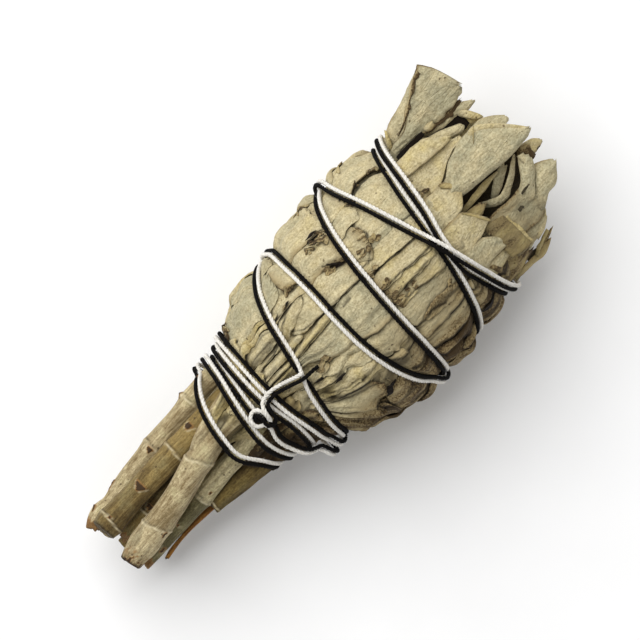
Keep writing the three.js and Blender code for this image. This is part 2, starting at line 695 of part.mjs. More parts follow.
// Leaves of the six sprigs round the bundle
const stemHoles = wasm.Manifold.union([
  ...stems.map((stem) => stemSolid(stem, stemGap)),
  ...[sideShoot, dryStalk, barkSplinter].map((twig) => stemSolid(twig, stemGap)),
]);
const pinched = outsideSkin();
const blades = [
  ...rowLeaves().map(pressedLeaf),
  ...restingLeaves.map(restingLeaf),
  ...tipLeaves.map((leaf) => freeLeaf(leaf).subtract(pinched)),
];
const underTable = bentSolid(new THREE.BoxGeometry(200, 200, 20), (p) => p.setZ(p.z - 10 + restHeight));
const core = leafCore();
seams.forEach((seam, i) => {
  const before = seams.at(i - 1);
  const own = blades.filter((blade) => inWedge(blade, before, seam));
  const sprig = wasm.Manifold.union([core, ...own])
    .intersect(spacePastSeam(before, seamGap))
    .subtract(spacePastSeam(seam, 0));
  const leaves = sprig.subtract(groove).subtract(stemHoles).subtract(underTable);
  bundle.add(named(`sprig_${i + 1}_leaves`, leaves, leafMaterial));
});

// Whether the middle of a blade lies between two seams.
function inWedge(blade, first, second) {
  const box = blade.boundingBox();
  const [x, y, z] = [0, 1, 2].map((k) => (box.min[k] + box.max[k]) / 2);
  const o = oval(x);
  const angle = THREE.MathUtils.radToDeg(Math.atan2(z - o.z, y - o.y)) + 360;
  const low = seamAngle(first, x);
  return (angle - low + 360) % 360 < (seamAngle(second, x) - low + 360) % 360;
}

// Stems
const shoot = stemSolid(sideShoot);
for (const stem of stems) {
  const solid = stemSolid(stem);
  bundle.add(named(stem.name, stem.name === "sprig_3_stem" ? solid.add(shoot) : solid, stemMaterial));
}
bundle.add(named("dry_leaf_stalk", stemSolid(dryStalk), stalkMaterial));
bundle.add(named("bark_splinter", stemSolid(barkSplinter), barkMaterial));

// Twine
const samples = thinned(wound, 6, strandBend);
bundle.add(named("twine_black_strand", strandSolid(samples, 1), blackMaterial));
bundle.add(named("twine_white_strand", strandSolid(samples, -1), whiteMaterial));

export default bundle;
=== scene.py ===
import math

import bpy
import numpy as np
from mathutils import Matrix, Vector, kdtree


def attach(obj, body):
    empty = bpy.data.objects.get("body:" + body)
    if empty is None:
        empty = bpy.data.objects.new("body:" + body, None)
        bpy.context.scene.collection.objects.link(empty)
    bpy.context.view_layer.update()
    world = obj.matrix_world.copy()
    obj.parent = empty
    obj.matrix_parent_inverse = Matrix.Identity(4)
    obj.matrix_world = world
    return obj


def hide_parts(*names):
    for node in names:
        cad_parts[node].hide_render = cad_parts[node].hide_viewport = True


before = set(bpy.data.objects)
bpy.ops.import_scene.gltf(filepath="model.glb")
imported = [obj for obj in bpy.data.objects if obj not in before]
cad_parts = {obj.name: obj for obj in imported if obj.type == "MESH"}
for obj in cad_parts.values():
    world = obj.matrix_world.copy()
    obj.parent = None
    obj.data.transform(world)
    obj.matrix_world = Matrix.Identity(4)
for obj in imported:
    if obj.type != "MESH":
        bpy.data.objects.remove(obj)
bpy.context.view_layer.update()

# White sage smudge stick, lying on its side. X runs from the cut stems to the leaf tips, Z is up.
# Lengths are millimetres. bundlePlace shifts the bundle so that its middle is over the origin.
metres = 0.001
bundlePlace = np.array([-0.06, 0.45, 0.0])
print("stage 1: frame loaded")


# Skin of the tied bundle: at each x, its reach in +Y and -Y and its lowest and highest point.
skinStations = [
    (-27, 10.0, -8.7, 8.6, 24.2), (-20, 10.1, -9.3, 7.8, 25.2), (-14, 11.0, -11.3, 6.2, 26.4),
    (-9, 13.0, -13.6, 4.2, 28.6), (-4, 15.2, -15.5, 2.5, 31.0), (2, 15.8, -17.5, 1.35, 33.0),
    (8, 16.4, -18.7, 1.35, 34.2), (14, 17.0, -18.8, 1.35, 34.6), (20, 17.2, -18.2, 1.35, 34.4),
    (26, 16.5, -17.5, 1.35, 33.4), (31, 15.2, -16.8, 1.6, 31.6), (36, 13.8, -15.4, 3.4, 29.2),
]


def clamp(values):
    return np.clip(values, 0, 1)


def between(stations, x, column):  # a smooth value between stations
    table = np.array([(s[0], s[column]) for s in stations], dtype=float)
    xs, values = table[:, 0], table[:, 1]
    k = np.arange(len(xs))
    before, after = np.maximum(k - 1, 0), np.minimum(k + 1, len(xs) - 1)
    slopes = (values[after] - values[before]) / (xs[after] - xs[before])
    i = np.clip(np.searchsorted(xs, x, side="left") - 1, 0, len(xs) - 2)
    span = xs[i + 1] - xs[i]
    t = clamp((x - xs[i]) / span)
    t2, t3 = t * t, t * t * t
    start = (2 * t3 - 3 * t2 + 1) * values[i] + (t3 - 2 * t2 + t) * slopes[i] * span
    return start + (3 * t2 - 2 * t3) * values[i + 1] + (t3 - t2) * slopes[i + 1] * span


def oval(x):  # centre y, centre z and half sizes of the skin at x
    high, low, under, top = (between(skinStations, x, column) for column in (1, 2, 3, 4))
    return (high + low) / 2, (under + top) / 2, (high - low) / 2, (top - under) / 2


def skinPoint(x, degrees, lift):  # the angle is 0 at +Y, 90 at the top, 180 at -Y, 270 underneath
    yMid, zMid, a, b = oval(x)
    turn = np.radians(degrees)
    places = [x + 0 * turn, yMid + (a + lift) * np.cos(turn), zMid + (b + lift) * np.sin(turn)]
    return np.stack(places, axis=-1)


def angleOf(x, y, stand=0.9):  # the angle on the upper side for a point seen from above
    yMid, _, a, _ = oval(x)
    share = (np.asarray(y, dtype=float) - yMid) / (a + stand)
    inner = np.clip(share, -0.985, 0.985)  # past this share of the reach, the angle runs on over the edge
    return np.degrees(np.arccos(inner)) - 300 * (share - inner)


def smoothstep(x, low, high):
    t = clamp((x - low) / (high - low))
    return t * t * (3 - 2 * t)


def randomRow(seed):  # a fixed row of random numbers from 0 to 1
    state = [seed & 0xFFFFFFFF]

    def draw():
        state[0] = (state[0] * 1664525 + 1013904223) & 0xFFFFFFFF
        return state[0] / 4294967296
    return draw


def patchNoise(x, y, seed):  # smooth noise from -1 to 1 on a unit grid
    x, y = np.broadcast_arrays(np.asarray(x, dtype=float), np.asarray(y, dtype=float))
    xCell, yCell = np.floor(x).astype(np.int64), np.floor(y).astype(np.int64)
    fx, fy = x - xCell, y - yCell
    fx, fy = fx * fx * (3 - 2 * fx), fy * fy * (3 - 2 * fy)

    def corner(dx, dy):
        mix = ((xCell + dx) * 374761393 + (yCell + dy) * 668265263 + seed * 362437) & 0xFFFFFFFF
        mix = ((mix ^ (mix >> 13)) * 1274126177) & 0xFFFFFFFF
        return ((mix ^ (mix >> 16)) & 0xFFFF) / 32767.5 - 1
    low = corner(0, 0) * (1 - fx) + corner(1, 0) * fx
    high = corner(0, 1) * (1 - fx) + corner(1, 1) * fx
    return low * (1 - fy) + high * fy


# Materials. Their own lengths are metres, and a texture's scale is its repeats per metre.

class Nodes:  # fills one node tree, with the nodes side by side in the order of their making
    def __init__(self, tree):
        self.tree = tree

    def feed(self, socket, value):  # links a socket to another one, or sets its value
        if isinstance(value, bpy.types.NodeSocket):
            self.tree.links.new(value, socket)
        elif value is not None:
            socket.default_value = (*value, 1) if socket.type == "RGBA" else value

    def place(self, kind, inputs=None, **settings):  # inputs are values or sockets, by name or by number
        node = self.tree.nodes.new(kind)
        row, column = divmod(len(self.tree.nodes), 12)
        node.location = (200 * column, -320 * row)
        for name, value in settings.items():
            setattr(node, name, value)
        for name, value in (inputs or {}).items():
            self.feed(node.inputs[name], value)
        return node

    def calculate(self, operation, first, second=None, clamped=False):
        settings = dict(operation=operation, use_clamp=clamped)
        return self.place("ShaderNodeMath", {0: first, 1: second}, **settings).outputs[0]

    def over(self, value, level, factor, clamped=False):  # how far a value is over a level, times a factor
        return self.calculate("MULTIPLY", self.calculate("SUBTRACT", value, level), factor, clamped)

    def plus(self, first, second, factor):  # the first value and the second times a factor
        return self.calculate("ADD", first, self.calculate("MULTIPLY", second, factor))

    def vector(self, operation, first, second):  # SCALE takes a number as its second value
        inputs = {0: first, "Scale" if operation == "SCALE" else 1: second}
        return self.place("ShaderNodeVectorMath", inputs, operation=operation).outputs[0]

    def noise(self, where, scale, detail, roughness=0.5, distortion=0.0):
        inputs = {"Vector": where, "Scale": scale, "Detail": detail, "Roughness": roughness}
        return self.place("ShaderNodeTexNoise", {**inputs, "Distortion": distortion}).outputs

    def mask(self, name):  # a value painted on the mesh
        return self.place("ShaderNodeAttribute", attribute_name=name).outputs["Fac"]

    def group(self, group, inputs=None):
        return self.place("ShaderNodeGroup", inputs, node_tree=group).outputs

    def ramp(self, stops, source):  # a colour ramp, stops are (position, colour)
        node = self.place("ShaderNodeValToRGB", {"Fac": source})
        for element, (position, colour) in zip(node.color_ramp.elements, stops):
            element.position, element.color = position, (*colour, 1)
        for position, colour in stops[2:]:
            node.color_ramp.elements.new(position).color = (*colour, 1)
        return node.outputs["Color"]

    def mix(self, factor, first, second, blend="MIX"):
        inputs = {0: factor, 6: first, 7: second}
        return self.place("ShaderNodeMix", inputs, data_type="RGBA", blend_type=blend).outputs[2]

    def shade(self, colour, layers):
        # Each layer is its amount, its source, where that is dark, its colour there, and where it is clear.
        for amount, source, darkAt, dark, clearAt in layers:
            stops = sorted([(darkAt, dark), (clearAt, (1.0, 1.0, 1.0))])
            colour = self.mix(amount, colour, self.ramp(stops, source), "MULTIPLY")
        return colour

    def wearAndShade(self, colour, stainAndShade, texture, looks):  # stains, torn places and specks; for the leaves the stain mask also holds painted shade
        crumbs = self.over(texture["Crumbs"], 0.5, looks["crumbs"])
        patchy = self.plus(stainAndShade, crumbs, self.calculate("MINIMUM", stainAndShade, looks["most"]))
        colour = self.mix(self.calculate("MULTIPLY", patchy, looks["spread"], True), colour, looks["stainAndShade"])
        colour = self.mix(self.over(patchy, looks["level"], looks["edge"], True), colour, looks["deep"])
        return self.mix(self.calculate("MULTIPLY", texture["Specks"], 0.7), colour, looks["deep"])

    def finish(self, colour, looks, height, strength, distance):  # the surface and its bump
        bump = self.place("ShaderNodeBump", {"Height": height, "Strength": strength, "Distance": distance})
        surface = {"Base Color": colour, "Normal": bump.outputs["Normal"], **looks}
        shader = self.place("ShaderNodeBsdfPrincipled", surface)
        self.place("ShaderNodeOutputMaterial", {0: shader.outputs[0]})


def newGroup(name, inputs, outputs):  # a group of numbers: its nodes, what it is given and what it puts out
    group = bpy.data.node_groups.new(name, "ShaderNodeTree")
    for label, value in inputs.items():
        socket = group.interface.new_socket(name=label, in_out="INPUT", socket_type="NodeSocketFloat")
        socket.default_value = value
    for label in outputs:
        group.interface.new_socket(name=label, in_out="OUTPUT", socket_type="NodeSocketFloat")
    nodes = Nodes(group)
    return nodes, nodes.place("NodeGroupInput").outputs, nodes.place("NodeGroupOutput").inputs


def newMaterial(name):
    material = bpy.data.materials.new(name)
    material.use_nodes = True
    material.node_tree.nodes.clear()
    return material, Nodes(material.node_tree)


def fibreGroup():  # long thin streaks along the stems and stalks
    nodes, given, result = newGroup(
        "fibre streaks", {"Length": 140.0, "Width": 1600.0, "Contrast": 1.0}, ("Streaks", "Patches"))
    where = nodes.place("ShaderNodeTexCoord").outputs["Object"]
    scale = nodes.place("ShaderNodeCombineXYZ", {0: given["Length"], 1: given["Width"], 2: given["Width"]})
    streak = nodes.noise(nodes.vector("MULTIPLY", where, scale.outputs[0]), 1.0, 4.0, 0.62)["Fac"]
    stronger = nodes.over(streak, 0.5, given["Contrast"])
    nodes.feed(result["Streaks"], nodes.calculate("ADD", stronger, 0.5, True))
    nodes.feed(result["Patches"], nodes.noise(where, 260.0, 3.0, 0.55)["Fac"])
    return nodes.tree


def feltGroup():  # the felt of a sage leaf: pebbled net of veins, mottling, specks, crumbs and fine creases
    nodes, given, result = newGroup("leaf felt", {"Pebble Size": 1500.0, "Mottle Size": 330.0},
                                    ("Pebbles", "Mottle", "Specks", "Crumbs", "Creases", "Height"))
    where = nodes.place("ShaderNodeTexCoord").outputs["Object"]
    push = nodes.vector("SCALE", nodes.noise(where, 900.0, 2.0)["Color"], 0.0006)
    warped = nodes.vector("ADD", where, push)
    pebble = nodes.place("ShaderNodeTexVoronoi", {
        "Vector": warped, "Scale": given["Pebble Size"], "Randomness": 0.9,
    }, feature="SMOOTH_F1").outputs["Distance"]
    speck = nodes.place("ShaderNodeTexVoronoi", {"Vector": warped, "Scale": 620.0, "Randomness": 1.0})
    near = nodes.calculate("LESS_THAN", speck.outputs["Distance"], 0.13)
    some = nodes.calculate("GREATER_THAN", nodes.noise(where, 190.0, 1.0)["Fac"], 0.56)
    fold = nodes.noise(nodes.vector("MULTIPLY", where, (0.28, 1.0, 1.0)), 800.0, 3.0, 0.6, 0.5)["Fac"]
    ridge = nodes.calculate("ABSOLUTE", nodes.calculate("SUBTRACT", fold, 0.5))
    rough = nodes.calculate("MULTIPLY", nodes.noise(where, 3600.0, 3.0, 0.7)["Fac"], 0.55)
    woven = nodes.vector("MULTIPLY", where, (0.92, 1.0, 1.0))
    for label, value in (
            ("Pebbles", pebble), ("Mottle", nodes.noise(where, given["Mottle Size"], 5.0, 0.6)["Fac"]),
            ("Specks", nodes.calculate("MULTIPLY", near, some)),
            ("Crumbs", nodes.noise(woven, 3300.0, 4.0, 0.65)["Fac"]),
            ("Creases", nodes.calculate("MULTIPLY", ridge, 11.0, True)),
            ("Height", nodes.plus(rough, pebble, -0.9))):
        nodes.feed(result[label], value)
    return nodes.tree


felt = feltGroup()
fibres = fibreGroup()

# The crevice colour is the near-black of painted shade in gaps, creases and recesses.
leafColours = {
    "grey": (0.560, 0.520, 0.340), "pale": (0.730, 0.640, 0.395), "straw": (0.660, 0.545, 0.250),
    "tan": (0.300, 0.222, 0.105), "brown": (0.072, 0.046, 0.021), "creviceShade": (0.009, 0.0055, 0.003),
    "vein": (0.760, 0.680, 0.440), "roughness": 0.92, "bump": 0.75, "sheen": 0.06,
}

leafWearAndShade = {
    "crumbs": 3.2, "most": 0.6, "spread": 1.7, "stainAndShade": leafColours["tan"], "level": 0.45, "edge": 2.4,
    "deep": leafColours["brown"],
}
barkColours = {"ring": (0.70, 0.61, 0.40), "wood": (0.13, 0.10, 0.05), "brown": (0.05, 0.028, 0.012)}
barkWear = {
    "crumbs": 1.0, "most": 1.0, "spread": 1.6, "stainAndShade": (0.27, 0.14, 0.045), "level": 0.5, "edge": 3.0,
    "deep": barkColours["brown"],
}


def leafMaterial():
    c = leafColours
    material, nodes = newMaterial("sage leaf felt")
    texture = nodes.group(felt)
    streak = nodes.group(fibres, {"Length": 130.0, "Width": 850.0, "Contrast": 1.6})["Streaks"]
    tone = nodes.calculate("ADD", nodes.mask("tone"), nodes.over(texture["Mottle"], 0.5, 1.5), True)
    colour = nodes.ramp([(0.0, c["grey"]), (0.5, c["pale"]), (1.0, c["straw"])], tone)
    colour = nodes.mix(nodes.calculate("MULTIPLY", nodes.mask("vein"), 0.45), colour, c["vein"])
    colour = nodes.shade(colour, (
        (0.18, streak, 0.15, (0.56, 0.52, 0.46), 0.62),
        (0.38, texture["Pebbles"], 0.75, (0.50, 0.46, 0.40), 0.15),
        (0.16, texture["Mottle"], 0.32, (0.60, 0.58, 0.54), 0.62),
        (0.68, texture["Crumbs"], 0.34, (0.46, 0.41, 0.34), 0.58),
        # the fine creases are painted darker, as painted shade
        (0.20, texture["Creases"], 0.0, (0.50, 0.44, 0.36), 0.60),
    ))
    # the leaves' brown mask holds real stains, and also painted shade on the side away from the light and at
    # the neck
    colour = nodes.wearAndShade(colour, nodes.mask("brown"), texture, leafWearAndShade)
    # painted shade: darkened towards near black where the crevice mask is high
    colour = nodes.mix(nodes.mask("creviceShade"), colour, c["creviceShade"])
    folded = nodes.plus(nodes.calculate("MULTIPLY", streak, 0.25), texture["Creases"], 0.55)
    nodes.finish(colour, {
        "Roughness": c["roughness"], "Sheen Weight": c["sheen"], "Sheen Roughness": 0.55,
        "Specular IOR Level": 0.08}, nodes.calculate("ADD", texture["Height"], folded), c["bump"], 0.00022)
    return material


def barkMaterial(name, pale, dark, patch, streakWidth=1500.0):
    c = barkColours
    material, nodes = newMaterial(name)
    streak = nodes.group(fibres, {"Length": 90.0, "Width": streakWidth, "Contrast": 1.6})
    fine = nodes.group(fibres, {"Length": 420.0, "Width": 5200.0, "Contrast": 1.5})["Streaks"]
    texture = nodes.group(felt, {"Mottle Size": 260.0})
    tone = nodes.plus(nodes.calculate("SUBTRACT", nodes.mask("tone"), 0.5),
                      nodes.calculate("SUBTRACT", streak["Patches"], 0.5), 1.3)
    colour = nodes.ramp([(0.18, dark), (0.75, pale)], nodes.calculate("ADD", streak["Streaks"], tone))
    colour = nodes.mix(nodes.over(texture["Mottle"], 0.5, 3.5, True), colour, patch)
    colour = nodes.shade(colour, (
        (0.72, fine, 0.3, (0.50, 0.45, 0.38), 0.7),
        (0.62, texture["Crumbs"], 0.36, (0.45, 0.40, 0.33), 0.58),
    ))
    colour = nodes.mix(nodes.calculate("MULTIPLY", nodes.mask("vein"), 0.75, True), colour, c["ring"])
    sawn = nodes.ramp([(0.35, c["brown"]), (0.6, c["wood"])], texture["Crumbs"])
    colour = nodes.mix(nodes.mask("cutFace"), colour, sawn)
    colour = nodes.wearAndShade(colour, nodes.mask("brown"), texture, barkWear)
    # painted shade: darkened towards near black where the crevice mask is high
    colour = nodes.mix(nodes.mask("creviceShade"), colour, leafColours["creviceShade"])
    grained = nodes.plus(nodes.calculate("MULTIPLY", fine, 0.5), texture["Crumbs"], 0.3)
    nodes.finish(colour, {"Roughness": 0.85, "Sheen Weight": 0.05, "Specular IOR Level": 0.25},
                 nodes.calculate("ADD", streak["Streaks"], grained), 0.6, 0.0002)
    return material


def cottonMaterial(name, light, shade, sheen):
    material, nodes = newMaterial(name)
    streak = nodes.group(fibres, {"Length": 2400.0, "Width": 2400.0, "Contrast": 1.6})["Streaks"]
    nodes.finish(nodes.ramp([(0.2, shade), (0.8, light)], streak), {
        "Roughness": 0.9, "Sheen Weight": sheen, "Sheen Roughness": 0.5, "Specular IOR Level": 0.15},
        streak, 0.5, 0.0001)
    return material


sageLeaf = leafMaterial()
khakiBark = barkMaterial("khaki bark", (0.74, 0.63, 0.385), (0.33, 0.25, 0.125), (0.52, 0.47, 0.255))
# Greenish bark whose dark colour is darkened for sprig 4's part in shade: partly its own colour, partly
# painted shade.
greenishShadedBark = barkMaterial("greenish shaded bark", (0.68, 0.60, 0.36), (0.17, 0.150, 0.070), (0.36, 0.33, 0.16))
oliveBark = barkMaterial("olive bark", (0.36, 0.262, 0.095), (0.135, 0.09, 0.03), (0.26, 0.225, 0.11))
dryStalkBark = barkMaterial("dry stalk", (0.25, 0.18, 0.055), (0.085, 0.056, 0.018), (0.16, 0.135, 0.05))
splinterBark = barkMaterial(
    "orange bark", (0.55, 0.26, 0.045), (0.18, 0.075, 0.018), (0.36, 0.16, 0.03), streakWidth=2600.0)
blackCotton = cottonMaterial("black cotton", (0.0040, 0.0030, 0.0028), (0.0012, 0.0009, 0.0008), 0.0)
whiteCotton = cottonMaterial("white cotton", (0.93, 0.91, 0.86), (0.62, 0.58, 0.50), 0.2)
print("stage 2: materials")


# Meshes

def putIn(name, data):  # an object in the scene
    piece = bpy.data.objects.new(name, data)
    bpy.context.collection.objects.link(piece)
    return piece


def makeMesh(name, points, quads, masks, material):
    mesh = bpy.data.meshes.new(name)
    mesh.vertices.add(len(points))
    mesh.vertices.foreach_set("co", ((points + bundlePlace) * metres).astype(np.float32).ravel())
    mesh.loops.add(quads.size)
    mesh.loops.foreach_set("vertex_index", quads.astype(np.int32).ravel())
    mesh.polygons.add(len(quads))
    mesh.polygons.foreach_set("loop_start", np.arange(0, quads.size, 4, dtype=np.int32))
    mesh.polygons.foreach_set("use_smooth", np.full(len(quads), True))
    mesh.update(calc_edges=True)
    for label, values in masks.items():
        layer = mesh.attributes.new(label, "FLOAT", "POINT")
        layer.data.foreach_set("value", values.astype(np.float32).ravel())
    mesh.materials.append(material)
    return putIn(name, mesh)


def sleeveQuads(rows, columns):  # the quads between the rings of a sleeve, whose ends stay open
    low = columns * np.arange(rows - 1)[:, None]
    ring = np.arange(columns)
    following = (ring + 1) % columns
    corners = (low + ring, low + columns + ring, low + columns + following, low + following)
    return np.stack(corners, axis=-1).reshape(-1, 4)


def closedSleeve(grid, hubs):  # a sleeve of rings with a fan of paired triangles round a hub at each end
    rows, columns = grid.shape[:2]
    count, last = rows * columns, (rows - 1) * columns
    ring = np.arange(0, columns, 2)
    following, third = (ring + 1) % columns, (ring + 2) % columns
    start = np.stack([np.full(len(ring), count), ring, following, third], axis=-1)
    end = np.stack([np.full(len(ring), count + 1), last + third, last + following, last + ring], axis=-1)
    return np.vstack([grid.reshape(-1, 3), hubs]), np.concatenate([sleeveQuads(rows, columns), start, end])


def foldedEnds(rows, columns):  # closes both ends of a sleeve whose ring runs over the top and back below
    half = columns // 2
    j = np.arange(half - 1)
    start = np.stack([j, j + 1, columns - 2 - j, columns - 1 - j], axis=-1)
    last = (rows - 1) * columns
    end = np.stack([last + j + 1, last + j, last + columns - 1 - j, last + columns - 2 - j], axis=-1)
    return np.concatenate([start, end])


def packSheets(name, sheets, material):  # joins closed sheets, each of an upper and a lower grid of points
    points, quads, masks = [], [], {}
    count = 0
    for sheet in sheets:
        upper, lower = sheet["upper"], sheet["lower"]
        rows, across = upper.shape[:2]
        columns = 2 * across
        ring = np.concatenate([upper, lower[:, ::-1]], axis=1)
        points.append(ring.reshape(-1, 3))
        quads.append(np.concatenate([sleeveQuads(rows, columns), foldedEnds(rows, columns)]) + count)
        count += rows * columns
        for label, values in sheet["masks"].items():
            both = np.concatenate([values, values[:, ::-1]], axis=1)
            masks.setdefault(label, []).append(both.ravel())
    joined = {label: np.concatenate(values) for label, values in masks.items()}
    return makeMesh(name, np.concatenate(points), np.concatenate(quads), joined, material)


# Twine: its route round the bundle, which also presses the leaves in

edge = 99  # stands for the very edge of the bundle
twineTurns = [
    [(-16.9, -1.6), (-16.4, 2), (-15.4, 7), (-14.4, edge)],
    [(-17.7, -edge), (-19.4, -6), (-18.9, -1), (-17.8, 3.5), (-16.5, 8), (-15.9, edge)],
    [(-20.4, -edge), (-22, -7.6), (-24.2, -3.6), (-23.8, 1), (-22.4, 6), (-18.6, edge)],
    [(-14.2, -edge), (-13.6, -7), (-14.3, -2), (-14.4, 2), (-13.9, 8), (-13, edge)],
    [(-8.6, -edge), (-8.5, -11), (-7.6, -6.4), (-6.4, -2.2), (-5.2, 2), (-3.6, 8), (-1.8, 12.4),
        (2.3, edge)],
    [(11.1, -edge), (11.8, -14), (12.1, -8), (12.6, -2), (13.3, 4), (14.4, 10), (16.2, 15.3), (18.7, edge)],
    [(20.2, -edge), (22.6, -15), (23.9, -11), (25.2, -6), (26.5, 1), (27.7, 7), (29, 12), (30.7, edge)],
    [(28.6, -edge), (27, -14), (26, -9), (26.6, -3.4), (28.2, 1.6), (29.5, 7), (30.6, 12), (32.4, edge)],
    [(30.4, -edge), (28.6, -14.6), (27.2, -9), (26, -4.4), (24.2, 1.6), (22.2, 9), (20.4, 15),
        (19.4, edge)],
    [(10.2, -edge), (7, -16.6), (5.4, -12), (4.6, -6), (4.7, 0), (5.2, 7), (5.3, 12), (4.9, edge)],
    [(-10.4, -edge), (-11.6, -9), (-12.3, -4), (-12.4, 1), (-12, 7), (-11.5, edge)],
    [(-12.3, -edge), (-16.2, -9.4), (-16.9, -6.6), (-16.2, -4.2), (-16.6, -2.6)],
]
knotLoop = [
    (-17.6, -2.1), (-17.5, -0.9), (-16.4, -0.6), (-15.9, -1.7), (-16.2, -3.2), (-15.3, -3.4), (-14.9, -2.0),
]
freeEnd = [(-14.2, -0.7), (-12.4, -0.4), (-9.4, -1.1), (-6.4, -1.9), (-3.2, -2.5)]
twine = {
    "diameter": 0.76, "spacing": 0.92, "gap": 0.2, "crossing": 1.07, "near": 6, "clearRun": 4.2, "ramp": 3.4,
    "swaps": ((3, -90), (4, 97), (8, -90)), "swapLength": 9, "step": 0.5,  # where the strands change sides
    "whiteShorter": 2.6,
}
twine["rise"] = twine["gap"] + twine["diameter"] / 2


def twineRoute():  # points (x, degrees / 4), the angle falls by 360 with each turn
    def turnAngle(x, y):
        yMid, _, a, _ = oval(x)
        return math.degrees(math.acos(max(-1, min(1, (y - yMid) / (a + twine["rise"])))))
    route = []
    for i, points in enumerate(twineTurns):
        route += [(x, turnAngle(x, y) - 360 * i) for x, y in points]
        if i + 1 < len(twineTurns):
            xEnd, xStart = points[-1][0], twineTurns[i + 1][0][0]
            route += [(xEnd + (xStart - xEnd) * share, -360 * i - 180 * share) for share in (0.33, 0.67)]
    last = len(twineTurns) - 1
    route += [(x, turnAngle(x, y) - 360 * last) for x, y in knotLoop + freeEnd]
    return np.array([(x, degrees / 4) for x, degrees in route])


def throughPoints(points, divisions):  # a centripetal curve through the points
    padded = np.vstack([2 * points[0] - points[1], points, 2 * points[-1] - points[-2]])
    t = np.linspace(0, len(points) - 1, divisions + 1)
    i = np.minimum(t.astype(int), len(points) - 2)
    u = (t - i)[:, None]
    p0, p1, p2, p3 = (padded[i + k] for k in range(4))
    d0, d1, d2 = (np.sqrt(np.linalg.norm(b - a, axis=1))[:, None]
                  for a, b in ((p0, p1), (p1, p2), (p2, p3)))
    m1 = ((p1 - p0) / d0 - (p2 - p0) / (d0 + d1) + (p2 - p1) / d1) * d1
    m2 = ((p2 - p1) / d1 - (p3 - p1) / (d1 + d2) + (p3 - p2) / d2) * d1
    c2 = -3 * p1 + 3 * p2 - 2 * m1 - m2
    c3 = 2 * p1 - 2 * p2 + m1 + m2
    return p1 + m1 * u + c2 * u ** 2 + c3 * u ** 3


def runOf(points):  # the length from the first point up to each of them
    return np.concatenate([[0], np.cumsum(np.linalg.norm(np.diff(points, axis=0), axis=1))])


def unit(vectors):
    return vectors / np.maximum(np.linalg.norm(vectors, axis=-1, keepdims=True), 1e-12)


def windTwine():  # evenly spaced samples of the route, with the directions and the lift over earlier turns
    fine = throughPoints(twineRoute(), 6000)
    run = runOf(skinPoint(fine[:, 0], fine[:, 1] * 4, twine["rise"]))
    count = round(run[-1] / twine["step"])
    want = np.linspace(0, run[-1], count + 1)
    x, degrees = np.interp(want, run, fine[:, 0]), np.interp(want, run, fine[:, 1]) * 4
    middle = skinPoint(x, degrees, twine["rise"])
    out = unit(skinPoint(x, degrees, 1) - skinPoint(x, degrees, 0))
    along = unit(np.vstack([middle[1:], middle[-1:]]) - np.vstack([middle[:1], middle[:-1]]))
    side = unit(np.cross(out, along))
    roll = np.zeros(count + 1)
    halfSwap = twine["swapLength"] / 2
    for turn, angle in twine["swaps"]:
        centre = want[np.argmin(np.abs(degrees - (angle - 360 * turn)))]
        roll += math.pi * smoothstep(want, centre - halfSwap, centre + halfSwap)
    lift = np.abs(np.sin(roll)) * twine["spacing"] / 2

    def strand(sign, which, height):
        half = sign * twine["spacing"] / 2
        return (middle[which] + side[which] * (half * np.cos(roll[which]))[..., None]
                + out[which] * (half * np.sin(roll[which]) + height)[..., None])
    pitch = twine["crossing"]
    for i in range(count + 1):
        close = np.sum((middle[:i] - middle[i]) ** 2, axis=1) < twine["near"] ** 2
        earlier = np.nonzero((want[:i] < want[i] - twine["clearRun"]) & close)[0]
        if len(earlier) == 0:
            continue
        need = 0
        for own in (1, -1):
            here = strand(own, np.array([i]), lift[i:i + 1])[0]
            for other in (1, -1):
                gap = strand(other, earlier, lift[earlier]) - here
                up = gap @ out[i]
                flat = np.sqrt(np.maximum(0, np.sum(gap ** 2, axis=1) - up ** 2))
                over = flat < pitch
                if over.any():
                    need = max(need, float(np.max(up[over] + np.sqrt(pitch ** 2 - flat[over] ** 2))))
        if need > 0:
            away = np.minimum(np.abs(want - want[i]) / twine["ramp"], 1)
            hump = np.where(away < 1, (lift[i] + need) * (0.5 + 0.5 * np.cos(np.pi * away)), 0)
            lift = np.maximum(lift, hump)
    every = np.arange(count + 1)
    return {"black": strand(1, every, lift), "white": strand(-1, every, lift), "middle": middle, "run": want}


wound = windTwine()
print("stage 3: twine route of", round(float(wound["run"][-1])), "mm")


# Stack of pressed leaves. Heights are kept on a grid of x and angle, and each leaf lies on what is below it.

stack = {
    "from": -29.0, "to": 39.0, "cell": 0.34, "columns": 312, "depth": 1.7, "gap": 0.05, "thickness": 0.26,
    "bulge": 0.8, "edgeBulge": 0.45, "spread": 1.1, "press": 0.12, "neckFrom": -18.0, "neckTo": -10.0,
}
stackRows = round((stack["to"] - stack["from"]) / stack["cell"]) + 1
stackX = stack["from"] + stack["cell"] * np.arange(stackRows)
stackAngles = 360 / stack["columns"] * np.arange(stack["columns"])

